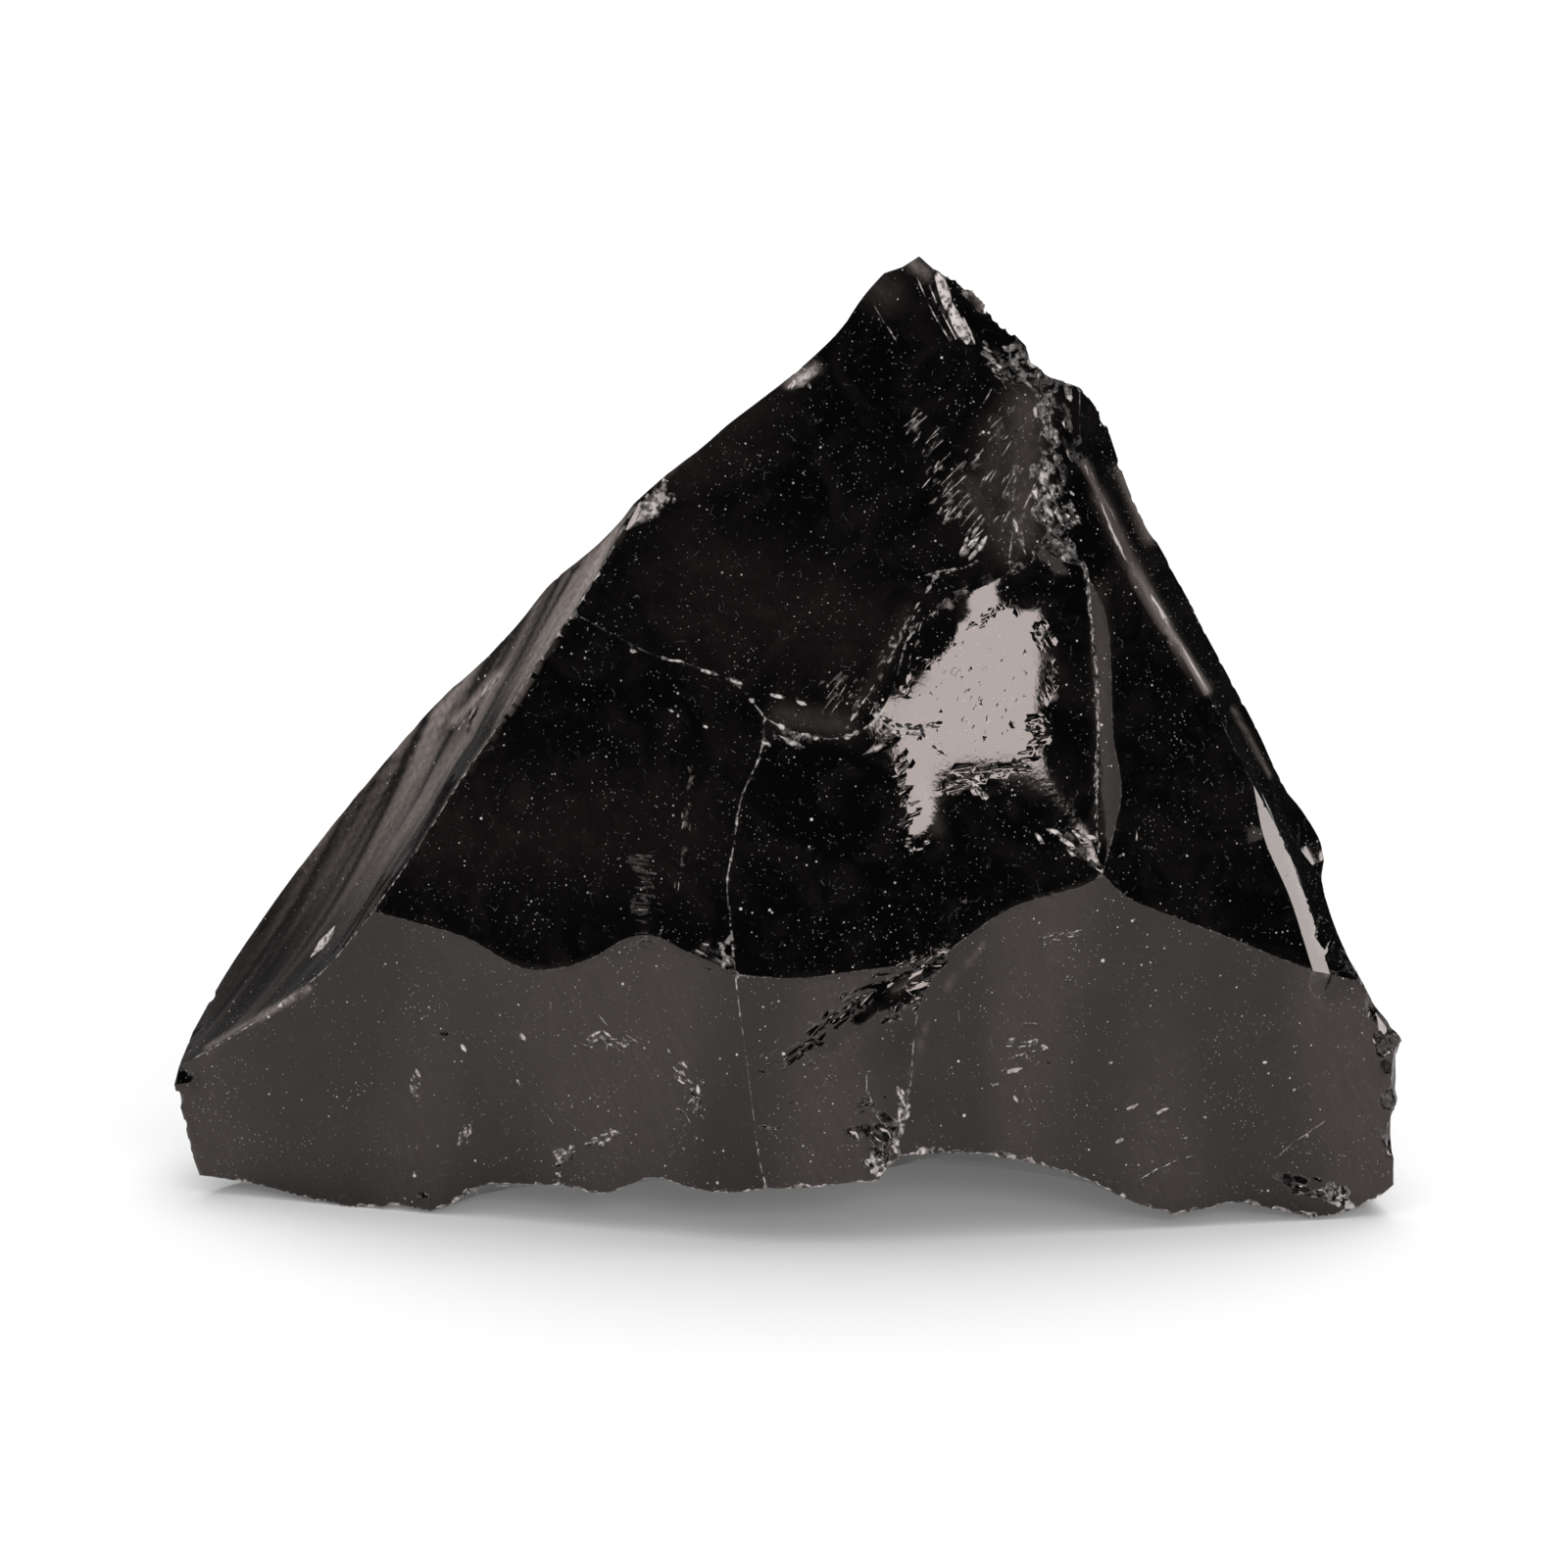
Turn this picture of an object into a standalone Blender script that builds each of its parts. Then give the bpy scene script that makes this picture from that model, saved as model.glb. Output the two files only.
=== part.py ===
"""A chunk of obsidian: one solid of black volcanic glass, broken from a larger block.

The solid is a net of ridges. A ridge runs from corner to corner, and each scar that a flake left
is a skin stretched over the ridges round it and pressed in by its own hollow.

The front ridges are drawn on a board that leans back by BOARD_LEAN. A point there has its place
across and up the board, and its distance in front of the board is solved, so that every front
scar comes as near as it can to a plane with its own turn and lean. The hidden ridges at the back
and underneath are given in space: across, back and up. All sizes here are in millimetres.
"""

import math
from collections import namedtuple

import bmesh
import bpy
import numpy as np
from mathutils import Vector, noise
from mathutils.geometry import delaunay_2d_cdt

MILLIMETRE = 0.001
BOARD_LEAN = math.radians(12)
FLOOR = -0.5                # height of the resting face below the board's foot
FRONT_STEP = 1.25           # length of the short edges along a front ridge
BACK_STEP = 2.3             # and along a hidden one
WANDER = 0.7                # how far a hidden ridge strays from its line
WANDER_RATE = 0.12          # and how often, in turns to a mm
WANDER_SEED = 2             # fixes the way it strays, which is otherwise new in each run
SLOPE_HOLD = 10.0           # how firmly a front scar keeps its own turn and lean
RIDGE_HOLD = 1.0            # how firmly a front ridge keeps from bending towards its board
TOUCH_HOLD = 100.0          # how firmly a touching point keeps to the floor
SHARP_ANGLE = math.radians(12)

RIGHT = np.array([1.0, 0.0, 0.0])
UP = np.array([0.0, math.sin(BOARD_LEAN), math.cos(BOARD_LEAN)])
OUT = np.array([0.0, -math.cos(BOARD_LEAN), math.sin(BOARD_LEAN)])

# Corners of the front net: (across, up) on the board.
FRONT_CORNERS = {
    "left_tip": (-38.8, 9.6),
    "left_toe": (-37.5, 2.6),
    "left_heel": (-38.0, 11.8),
    "left_pad": (-22.6, 0.4),
    "crease_foot": (-1.1, 2.0),
    "arch_left": (7.4, 4.1),
    "inner_pad": (24.9, 0.2),
    "right_pad": (33.7, 0.0),
    "right_toe": (39.0, 2.1),
    "right_shoulder": (36.9, 15.0),
    "strip_foot_right": (34.8, 15.6),
    "strip_foot_left": (33.7, 15.8),
    "strip_top": (29.9, 27.6),
    "ridge_foot": (20.2, 22.0),
    "bevel_top": (19.2, 41.0),
    "lip_right": (16.9, 44.0),
    "crest_right": (16.6, 53.8),
    "crest_end": (18.8, 52.9),
    "peak": (8.6, 61.3),
    "crest_left": (-3.7, 50.5),
    "flank_top": (-7.7, 47.2),
    "lip_left": (-13.4, 38.6),
    "lip_crease": (-1.3, 32.0),
    "apron_left": (-26.2, 19.6),
    "apron_middle": (-3.1, 15.6),
    "apron_right": (9.6, 16.4),
}

# Corners at the back and underneath: (across, back, up).
HIDDEN_CORNERS = {
    "back_left": (-33.5, 23.5, 10.5),
    "back_low_left": (-20.0, 34.0, 14.5),
    "back_middle": (3.0, 39.0, 12.0),
    "back_low_right": (21.5, 34.5, 17.0),
    "back_right": (36.0, 21.0, 12.0),
    "knot_left": (-8.0, 28.0, 33.0),
    "knot_right": (16.5, 26.5, 34.0),
    "base_left": (-32.5, 17.5, FLOOR),
    "base_back_left": (-20.0, 27.5, FLOOR),
    "base_back_right": (22.0, 28.0, FLOOR),
    "base_right": (36.0, 15.0, FLOOR),
}

# The front corners that stand on the floor.
TOUCHING = ("left_pad", "right_pad")

# Front ridges: first corner, last corner, and the points between them on the board.
FRONT_RIDGES = {
    "flank_low": ("left_tip", "apron_left", [(-37.2, 10.5), (-35.6, 11.4), (-33.1, 13.0),
                                             (-31.2, 14.4), (-29.4, 15.8), (-28.0, 17.4)]),
    "flank_middle": ("apron_left", "lip_left", [(-24.4, 22.1), (-21.6, 26.4), (-18.1, 31.7),
                                                (-15.0, 36.4)]),
    "flank_high": ("lip_left", "flank_top", [(-11.2, 42.1), (-10.0, 44.6)]),
    "outline_heel": ("left_tip", "left_heel", []),
    "outline_left": ("left_heel", "flank_top", [(-35.9, 15.5), (-33.4, 19.2), (-30.6, 23.0),
                                                (-27.6, 26.7), (-24.4, 30.5), (-22.1, 33.0),
                                                (-19.3, 35.5), (-16.9, 38.0), (-14.9, 40.5),
                                                (-12.5, 42.4), (-10.6, 44.2), (-9.6, 45.5)]),
    "crest_a": ("flank_top", "crest_left", [(-6.7, 48.0), (-5.1, 49.2)]),
    "crest_b": ("crest_left", "peak", [(-2.1, 51.7), (-0.4, 53.0), (1.1, 54.2), (2.5, 55.5),
                                       (3.7, 56.7), (4.5, 58.0), (5.4, 59.2), (6.7, 60.5),
                                       (7.5, 60.6)]),
    "crest_c": ("peak", "crest_right", [(9.8, 60.3), (11.8, 59.6), (12.9, 58.4), (13.1, 57.4),
                                        (15.3, 55.8), (15.4, 55.0)]),
    "crest_d": ("crest_right", "crest_end", [(17.7, 53.3)]),
    "outline_right": ("crest_end", "right_shoulder", [(19.6, 52.0), (20.5, 50.6), (21.4, 47.9),
                                                      (22.6, 44.9), (24.0, 42.6), (26.8, 37.4),
                                                      (30.1, 31.3), (31.9, 27.5), (33.4, 25.6),
                                                      (34.5, 23.4), (34.3, 22.0), (34.7, 20.1),
                                                      (35.8, 17.0)]),
    "outline_end": ("right_shoulder", "right_toe", [(37.8, 13.4), (39.1, 11.9), (39.6, 10.8),
                                                    (39.4, 8.9), (39.2, 6.4), (39.0, 4.5)]),
    "foot_right": ("right_toe", "right_pad", [(37.4, 0.9), (35.2, 0.2)]),
    "foot_pads": ("right_pad", "inner_pad", [(32.1, 0.4), (30.5, 0.7), (28.8, 1.1),
                                             (27.4, 0.7)]),
    "foot_arch": ("inner_pad", "arch_left", [(23.5, 0.6), (21.9, 1.2), (20.2, 2.1), (19.1, 2.6),
                                             (16.7, 3.4), (14.3, 3.9), (13.0, 4.2), (9.5, 4.3)]),
    "foot_middle": ("arch_left", "crease_foot", [(6.6, 3.4), (6.0, 2.4), (4.1, 2.4),
                                                 (1.7, 2.0)]),
    "foot_left": ("crease_foot", "left_pad", [(-3.6, 1.7), (-6.0, 2.0), (-8.2, 2.7),
                                              (-10.3, 2.0), (-11.7, 1.5), (-13.9, 2.1),
                                              (-15.9, 2.1), (-18.7, 2.2), (-20.1, 1.7),
                                              (-21.2, 0.8)]),
    "foot_toe": ("left_pad", "left_toe", [(-24.9, 0.7), (-26.4, 0.6), (-28.5, 0.7),
                                          (-30.4, 1.1), (-32.8, 1.8), (-34.7, 2.2)]),
    "outline_toe": ("left_toe", "left_tip", [(-38.2, 4.7), (-38.5, 6.3), (-39.1, 8.3)]),
    "apron_edge_left": ("apron_left", "apron_middle", [(-20.7, 18.1), (-19.2, 17.4),
                                                       (-16.9, 16.0), (-14.6, 15.9),
                                                       (-12.0, 16.7), (-9.9, 18.0),
                                                       (-7.8, 18.1), (-7.0, 17.4),
                                                       (-3.8, 16.1)]),
    "apron_edge_middle": ("apron_middle", "apron_right", [(-0.4, 15.4), (1.7, 15.4),
                                                          (3.6, 15.7), (5.9, 16.0)]),
    "crease_high": ("lip_crease", "apron_middle", [(-1.3, 30.2), (-1.9, 28.6), (-2.8, 26.7),
                                                   (-3.1, 24.4), (-3.4, 22.6), (-3.7, 21.4),
                                                   (-3.4, 19.1)]),
    "crease_low": ("apron_middle", "crease_foot", [(-2.8, 13.1), (-2.5, 11.1), (-2.0, 7.1),
                                                   (-1.6, 3.9)]),
    "lip_a": ("lip_left", "lip_crease", [(-10.5, 37.0), (-7.9, 35.7), (-6.6, 35.5),
                                         (-4.7, 34.8), (-3.0, 34.1)]),
    "lip_b": ("lip_crease", "lip_right", [(0.1, 31.1), (1.2, 30.8), (2.9, 30.5), (3.7, 30.6),
                                          (5.2, 31.2), (6.5, 32.8), (7.2, 34.6), (7.6, 36.4),
                                          (8.3, 37.7), (10.1, 38.9), (12.4, 40.1),
                                          (14.4, 41.0), (15.8, 41.7), (16.4, 42.9)]),
    "crushed_ridge": ("lip_right", "crest_right", [(16.4, 47.6), (16.6, 50.4)]),
    "ridge_top": ("lip_right", "bevel_top", [(17.8, 43.6), (18.3, 42.7)]),
    "bevel_left": ("bevel_top", "ridge_foot", [(19.4, 39.1), (19.5, 36.9), (19.7, 34.5),
                                               (19.9, 31.5), (20.0, 28.3), (19.9, 25.5),
                                               (20.1, 24.2)]),
    "bevel_right": ("bevel_top", "ridge_foot", [(20.5, 38.4), (20.8, 34.1), (20.9, 30.5),
                                                (21.5, 27.6), (21.2, 25.7), (20.8, 24.1)]),
    "scar_left": ("arch_left", "apron_right", [(7.2, 5.5), (7.9, 7.6), (8.1, 9.3), (8.3, 12.5),
                                               (8.7, 14.1)]),
    "scar_top": ("apron_right", "ridge_foot", [(11.7, 18.1), (14.3, 19.8), (16.7, 20.6),
                                               (19.4, 21.3)]),
    "scar_right": ("ridge_foot", "strip_foot_left", [(21.7, 20.5), (23.1, 19.9), (25.2, 19.1),
                                                     (27.9, 18.1), (30.1, 17.2),
                                                     (31.6, 16.6)]),
    "strip_foot": ("strip_foot_left", "strip_foot_right", []),
    "scar_end": ("strip_foot_right", "right_shoulder", []),
    "side_ridge": ("crest_end", "strip_top", [(18.9, 48.6), (19.9, 46.6), (20.9, 44.8),
                                              (21.6, 42.7), (23.2, 40.2), (24.7, 37.7),
                                              (27.0, 33.5), (28.7, 29.9)]),
    "strip_left": ("strip_top", "strip_foot_left", [(30.5, 24.4), (31.4, 22.3), (32.3, 20.3)]),
    "strip_right": ("strip_top", "strip_foot_right", [(31.4, 24.9), (32.9, 21.6)]),
}

# Hidden ridges: first corner, last corner, and the points between them in space.
HIDDEN_RIDGES = {
    "back_crest_left": ("crest_left", "knot_left", []),
    "back_fork_left": ("knot_left", "back_low_left", [(-13.0, 31.5, 24.5)]),
    "back_fork_middle": ("knot_left", "back_middle", [(-3.5, 33.5, 23.0)]),
    "back_spine": ("peak", "back_middle", [(7.5, 15.0, 53.5), (5.5, 23.0, 42.0),
                                           (4.0, 31.5, 27.5)]),
    "back_crest_right": ("crest_end", "knot_right", []),
    "back_fork_inner": ("knot_right", "back_middle", [(10.5, 33.0, 23.0)]),
    "back_fork_right": ("knot_right", "back_low_right", [(18.5, 31.0, 26.0)]),
    "low_heel": ("left_heel", "back_left", []),
    "low_left": ("back_left", "back_low_left", [(-27.0, 29.5, 13.5)]),
    "low_middle_left": ("back_low_left", "back_middle", [(-8.0, 37.5, 13.0)]),
    "low_middle_right": ("back_middle", "back_low_right", [(12.0, 38.0, 15.5)]),
    "low_right": ("back_low_right", "back_right", [(30.0, 28.5, 15.5)]),
    "low_shoulder": ("back_right", "right_shoulder", []),
    "drop_far_left": ("back_left", "base_left", []),
    "drop_left": ("back_low_left", "base_back_left", []),
    "drop_right": ("back_low_right", "base_back_right", []),
    "drop_far_right": ("back_right", "base_right", []),
    "toe_left": ("left_toe", "base_left", []),
    "toe_right": ("right_toe", "base_right", []),
}

# The outline of the resting face, flat on the floor.
BASE_RIDGES = {
    "base_toe": ("left_pad", "base_left", [(-28.0, 11.5)]),
    "base_far_left": ("base_left", "base_back_left", [(-27.5, 23.5)]),
    "base_back": ("base_back_left", "base_back_right", [(-8.0, 33.0), (8.0, 34.0)]),
    "base_far_right": ("base_back_right", "base_right", [(30.5, 23.0)]),
    "base_side": ("base_right", "right_pad", [(36.2, 9.0)]),
    "base_arch": ("right_pad", "left_pad", [(30.0, 7.5), (24.5, 9.0), (20.0, 12.5),
                                            (14.0, 19.0), (7.5, 22.0), (0.0, 19.5),
                                            (-8.0, 15.0), (-15.0, 12.5), (-20.0, 9.0)]),
}

# A scar: its ridges in order round it, turn to the right and lean back in degrees (front scars
# only), depth of its hollow, size of its triangles, and the point near which the blow fell, where
# the hollow is deepest, with its reach and the height of the ripples round it, and the bow of a
# scar that bulges: how fast its rim falls back across and up. A hollow below 0 is a swelling.
Scar = namedtuple("Scar", "ridges turn lean hollow grain struck reach ripple bow")

SCARS = {
    "left_flank": Scar("flank_low flank_middle flank_high outline_left outline_heel",
                       -68, 24, 0.9, 1.5, None, 0, 0, 0),
    "left_face": Scar("flank_middle lip_a crease_high apron_edge_left", -19, 15, 0.2, 1.6,
                      None, 0, 0, 0),
    "left_apron": Scar("flank_low apron_edge_left crease_low foot_left foot_toe outline_toe",
                       -14, 0, 0.2, 1.6, None, 0, 0, 0),
    "scoop": Scar("flank_high crest_a crest_b crest_c crushed_ridge lip_b lip_a",
                  -14, 29, 0.9, 1.6, (14, 3, 50), 12, 0, 0),
    "bulb": Scar("lip_b ridge_top bevel_left scar_top apron_edge_middle crease_high",
                 3, 18, -0.6, 1.6, (11, 0, 32.5), 9, 0, (0.005, 0.0018)),
    "middle_apron": Scar("apron_edge_middle scar_left foot_middle crease_low", 1, 0, 0.1, 1.6,
                         None, 0, 0, 0),
    "right_apron": Scar("scar_left scar_top scar_right strip_foot scar_end outline_end "
                        "foot_right foot_pads foot_arch", 14, 0, 0.3, 1.6, None, 0, 0, 0),
    "ridge_bevel": Scar("bevel_left bevel_right", 16, 12, 0, 1.3, None, 0, 0, 0),
    "right_face": Scar("ridge_top bevel_right scar_right strip_left side_ridge crest_d "
                       "crushed_ridge", 31, 15, 0.3, 1.6, None, 0, 0, 0),
    "side_strip": Scar("strip_left strip_foot strip_right", 48, 15, 0, 1.3, None, 0, 0, 0),
    "right_flank": Scar("side_ridge strip_right scar_end outline_right", 66, 24, 0.2, 1.5,
                        None, 0, 0, 0),
    "back_left": Scar("outline_left crest_a back_crest_left back_fork_left low_left low_heel",
                      0, 0, 1.6, 2.4, (-8, 18, 46), 14, 0.12, 0),
    "back_top_left": Scar("crest_b back_spine back_fork_middle back_crest_left", 0, 0, 0.9, 2.4,
                          (8, 16, 58), 14, 0.1, 0),
    "back_top_right": Scar("crest_c crest_d back_crest_right back_fork_inner back_spine", 0, 0,
                           0.9, 2.4, (8, 16, 58), 14, 0.1, 0),
    "back_right": Scar("outline_right low_shoulder low_right back_fork_right back_crest_right",
                       0, 0, 1.6, 2.4, (36, 18, 14), 14, 0.12, 0),
    "back_wedge_left": Scar("back_fork_left back_fork_middle low_middle_left", 0, 0, 0.8, 2.4,
                            None, 0, 0, 0),
    "back_wedge_right": Scar("back_fork_inner back_fork_right low_middle_right", 0, 0, 0.7, 2.4,
                             None, 0, 0, 0),
    "back_apron_left": Scar("low_left drop_left base_far_left drop_far_left", 0, 0, 0.8, 2.4,
                            None, 0, 0, 0),
    "back_apron": Scar("low_middle_left low_middle_right drop_right base_back drop_left",
                       0, 0, 1.0, 2.4, (4, 39, 13), 14, 0.08, 0),
    "back_apron_right": Scar("low_right drop_far_right base_far_right drop_right", 0, 0, 0.8,
                             2.4, None, 0, 0, 0),
    "left_end": Scar("outline_toe outline_heel low_heel drop_far_left toe_left", 0, 0, 0.6, 2.0,
                     None, 0, 0, 0),
    "right_end": Scar("outline_end toe_right drop_far_right low_shoulder", 0, 0, 0.6, 2.0,
                      None, 0, 0, 0),
    "under_arch": Scar("foot_pads foot_arch foot_middle foot_left base_arch", 0, 0, 0.5, 2.6,
                       None, 0, 0, 0),
    "under_left": Scar("foot_toe toe_left base_toe", 0, 0, 0.2, 2.0, None, 0, 0, 0),
    "under_right": Scar("foot_right toe_right base_side", 0, 0, 0.2, 2.0, None, 0, 0, 0),
    "resting_face": Scar("base_toe base_far_left base_back base_far_right base_side base_arch",
                         0, 0, 0, 5.0, None, 0, 0, 0),
}
NARROW = ("ridge_bevel", "side_strip")
NARROW_HOLD = 6.0           # how firmly a narrow scar keeps its own slope
BLOW_REST = 0.2             # share of the pressing that reaches the whole scar
RIPPLE_LENGTH = 8.0         # from one conchoidal ripple to the next
MIDDLE = np.array([2.0, 18.0, 18.0])    # a point deep inside the stone

# Small flakes knocked off the hidden ridges: the ridge, how far along it, width and depth.
FLAKES = [
    ("back_spine", 0.22, 5.0, 0.7), ("back_spine", 0.55, 7.0, 0.9),
    ("back_crest_left", 0.5, 6.0, 0.8), ("back_crest_right", 0.45, 6.5, 0.8),
    ("back_fork_left", 0.45, 5.5, 0.7), ("back_fork_right", 0.6, 5.0, 0.7),
    ("low_left", 0.35, 6.5, 1.0), ("low_left", 0.75, 4.5, 0.7),
    ("low_middle_left", 0.4, 6.0, 0.9), ("low_middle_right", 0.35, 7.0, 1.0),
    ("low_middle_right", 0.8, 4.5, 0.7), ("low_right", 0.5, 6.5, 1.0),
    ("drop_left", 0.5, 5.0, 0.7), ("drop_right", 0.55, 5.5, 0.8),
    ("drop_far_left", 0.45, 4.5, 0.6), ("drop_far_right", 0.5, 5.0, 0.7),
]
FLAKE_FINENESS = 4          # subdivisions of the ball whose cap is the flake's scar


def board_slopes(turn, lean):
    """How far a plane comes forward for each mm across and up, and how squarely it faces."""
    turn, lean = math.radians(turn), math.radians(lean)
    normal = np.array([math.cos(lean) * math.sin(turn), -math.cos(lean) * math.cos(turn),
                       math.sin(lean)])
    facing = normal @ OUT
    return -normal @ RIGHT / facing, -normal @ UP / facing, facing


def board_point(across, up, forward):
    return across * RIGHT + up * UP + forward * OUT


def front_key(name, index):
    """The solved point that stands at a place along a front ridge."""
    first, last, between = FRONT_RIDGES[name]
    if index == 0:
        return first
    if index == len(between) + 1:
        return last
    return (name, index)


def front_places():
    """Every solved point with its place on the board."""
    places = dict(FRONT_CORNERS)
    for name, (_, _, between) in FRONT_RIDGES.items():
        for index, place in enumerate(between, start=1):
            places[(name, index)] = place
    return places


def solve_forward():
    """Distance in front of the board of every front point, by least squares."""
    places = front_places()
    column = {key: number for number, key in enumerate(places)}
    front_scars = [name for name, scar in SCARS.items() if any_front(scar)]
    width = len(places) + 3 * len(front_scars)
    rows, targets = [], []

    def add(entries, target, weight):
        row = np.zeros(width)
        for index, value in entries:
            row[index] += weight * value
        rows.append(row)
        targets.append(weight * target)

    for number, name in enumerate(front_scars):
        base = len(places) + 3 * number
        scar = SCARS[name]
        slope_across, slope_up, facing = board_slopes(scar.turn, scar.lean)
        add([(base + 1, 1.0)], slope_across, SLOPE_HOLD)
        add([(base + 2, 1.0)], slope_up, SLOPE_HOLD)
        keys = {front_key(ridge, index) for ridge in scar.ridges.split()
                for index in range(len(FRONT_RIDGES[ridge][2]) + 2)}
        hold = facing * NARROW_HOLD if name in NARROW else facing
        for key in sorted(keys, key=str):
            across, up = places[key]
            add([(column[key], 1.0), (base, -1.0), (base + 1, -across), (base + 2, -up)],
                -bulging(scar, across, up), hold)
    for name in FRONT_RIDGES:
        keys = [front_key(name, index) for index in range(len(FRONT_RIDGES[name][2]) + 2)]
        for before, here, after in zip(keys, keys[1:], keys[2:]):
            back = 1 / math.dist(places[before], places[here])
            ahead = 1 / math.dist(places[here], places[after])
            add([(column[before], back), (column[here], -back - ahead),
                 (column[after], ahead)], 0.0, RIDGE_HOLD)
    for key in TOUCHING:
        forward = (FLOOR - places[key][1] * UP[2]) / OUT[2]
        add([(column[key], 1.0)], forward, TOUCH_HOLD)
    solution = np.linalg.lstsq(np.array(rows), np.array(targets), rcond=None)[0]
    return {key: board_point(*places[key], solution[column[key]]) for key in places}


def bulging(scar, across, up):
    """How far the rim of a scar that bulges falls back from its plane."""
    if not scar.bow:
        return 0.0
    beside = across - scar.struck[0]
    above = up - scar.struck[2] / UP[2]
    return scar.bow[0] * beside ** 2 + scar.bow[1] * above ** 2


def any_front(scar):
    """A front scar is one whose ridges all lie on the board."""
    return all(ridge in FRONT_RIDGES for ridge in scar.ridges.split())


def catmull_rom(points, step):
    """A smooth curve through the points, in short edges of about the same length."""
    points = [np.asarray(point, dtype=float) for point in points]
    if len(points) == 2:
        count = max(1, round(np.linalg.norm(points[1] - points[0]) / step))
        return [points[0] + (points[1] - points[0]) * part / count for part in range(count + 1)]
    ends = [2 * points[0] - points[1]] + points + [2 * points[-1] - points[-2]]
    fine = []
    for a, b, c, d in zip(ends, ends[1:], ends[2:], ends[3:]):
        for t in np.linspace(0, 1, 9)[:-1]:
            fine.append(0.5 * (2 * b + (c - a) * t + (2 * a - 5 * b + 4 * c - d) * t * t
                               + (3 * b - a - 3 * c + d) * t ** 3))
    fine.append(points[-1])
    lengths = [np.linalg.norm(q - p) for p, q in zip(fine, fine[1:])]
    along = np.concatenate([[0], np.cumsum(lengths)])
    count = max(2, round(along[-1] / step))
    marks = np.linspace(0, along[-1], count + 1)
    fine = np.array(fine)
    return [np.array([np.interp(mark, along, fine[:, axis]) for axis in range(3)])
            for mark in marks]


def wander(points, flat):
    """Lets a hidden ridge stray a little from its line, but not at its ends."""
    strayed = []
    for index, point in enumerate(points):
        fade = math.sin(math.pi * index / (len(points) - 1))
        push = np.array(noise.noise_vector(Vector(point) * WANDER_RATE)) * WANDER * 2 * fade
        if flat:
            push[2] = 0.0
        strayed.append(point + push)
    return strayed


def lay_ridges():
    """The points of every ridge in space, from its first corner to its last."""
    solved = solve_forward()
    corners = {name: solved[name] for name in FRONT_CORNERS}
    corners.update({name: np.array(place) for name, place in HIDDEN_CORNERS.items()})
    for name in TOUCHING:
        corners[name][2] = FLOOR
    ridges = {}
    for name, (first, last, between) in FRONT_RIDGES.items():
        middle = [solved[(name, index)] for index in range(1, len(between) + 1)]
        ridges[name] = catmull_rom([corners[first], *middle, corners[last]], FRONT_STEP)
    for name, (first, last, between) in HIDDEN_RIDGES.items():
        curve = catmull_rom([corners[first], *between, corners[last]], BACK_STEP)
        ridges[name] = wander(curve, False)
    for name, (first, last, between) in BASE_RIDGES.items():
        middle = [(across, back, FLOOR) for across, back in between]
        curve = catmull_rom([corners[first], *middle, corners[last]], BACK_STEP)
        ridges[name] = wander(curve, True)
    return ridges


def scar_loop(scar, ridges):
    """The ridges of a scar joined end to end into one loop of points."""
    names = scar.ridges.split()
    loop = list(ridges[names[0]])
    following = ridges[names[1]]
    if not any(np.allclose(loop[-1], end) for end in (following[0], following[-1])):
        loop.reverse()
    for name in names[1:]:
        points = ridges[name]
        if not np.allclose(points[0], loop[-1]):
            points = points[::-1]
        loop += points[1:]
    return np.array(loop[:-1])


def flatten(loop):
    """A frame in the plane that fits the loop best: its centre and its three axes."""
    centre = loop.mean(axis=0)
    ahead = np.roll(loop, -1, axis=0)
    normal = np.cross(loop - centre, ahead - centre).sum(axis=0)
    normal /= np.linalg.norm(normal)
    side = np.cross(normal, [0.0, 0.0, 1.0])
    if np.linalg.norm(side) < 0.1:
        side = np.array([1.0, 0.0, 0.0])
    side /= np.linalg.norm(side)
    return centre, np.array([side, np.cross(normal, side), normal])


def inside_points(outline, grain):
    """A triangular grid of points inside a flat outline, clear of its edge."""
    low, high = outline.min(axis=0), outline.max(axis=0)
    starts, ends = outline, np.roll(outline, -1, axis=0)
    found = []
    row_height = grain * math.sqrt(3) / 2
    for row in range(int((high[1] - low[1]) / row_height) + 1):
        shift = grain / 2 if row % 2 else 0.0
        for place in range(int((high[0] - low[0]) / grain) + 1):
            point = np.array([low[0] + shift + place * grain, low[1] + row * row_height])
            if is_inside(point, starts, ends) and edge_distance(point, starts, ends) > 0.55 * grain:
                found.append(point)
    return found


def is_inside(point, starts, ends):
    above = (starts[:, 1] > point[1]) != (ends[:, 1] > point[1])
    rise = np.where(above, ends[:, 1] - starts[:, 1], 1.0)
    crossing = starts[:, 0] + (point[1] - starts[:, 1]) * (ends[:, 0] - starts[:, 0]) / rise
    return np.count_nonzero(above & (crossing > point[0])) % 2 == 1


def edge_distance(point, starts, ends):
    along = ends - starts
    part = ((point - starts) * along).sum(axis=1) / (along ** 2).sum(axis=1)
    nearest = starts + along * np.clip(part, 0, 1)[:, None]
    return np.linalg.norm(nearest - point, axis=1).min()


def triangulate(outline, grain):
    """Flat triangles that fill an outline, with the outline's own points first."""
    points = [tuple(place) for place in outline] + [tuple(p) for p in inside_points(outline, grain)]
    count = len(outline)
    rim = [(index, (index + 1) % count) for index in range(count)]
    flat, _, faces, _, _, _ = delaunay_2d_cdt([Vector(p) for p in points], rim, [], 1, 1e-6)
    if len(flat) != len(points):
        raise ValueError("the outline crosses itself")
    return np.array([tuple(p) for p in flat]), [tuple(face) for face in faces]


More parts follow.
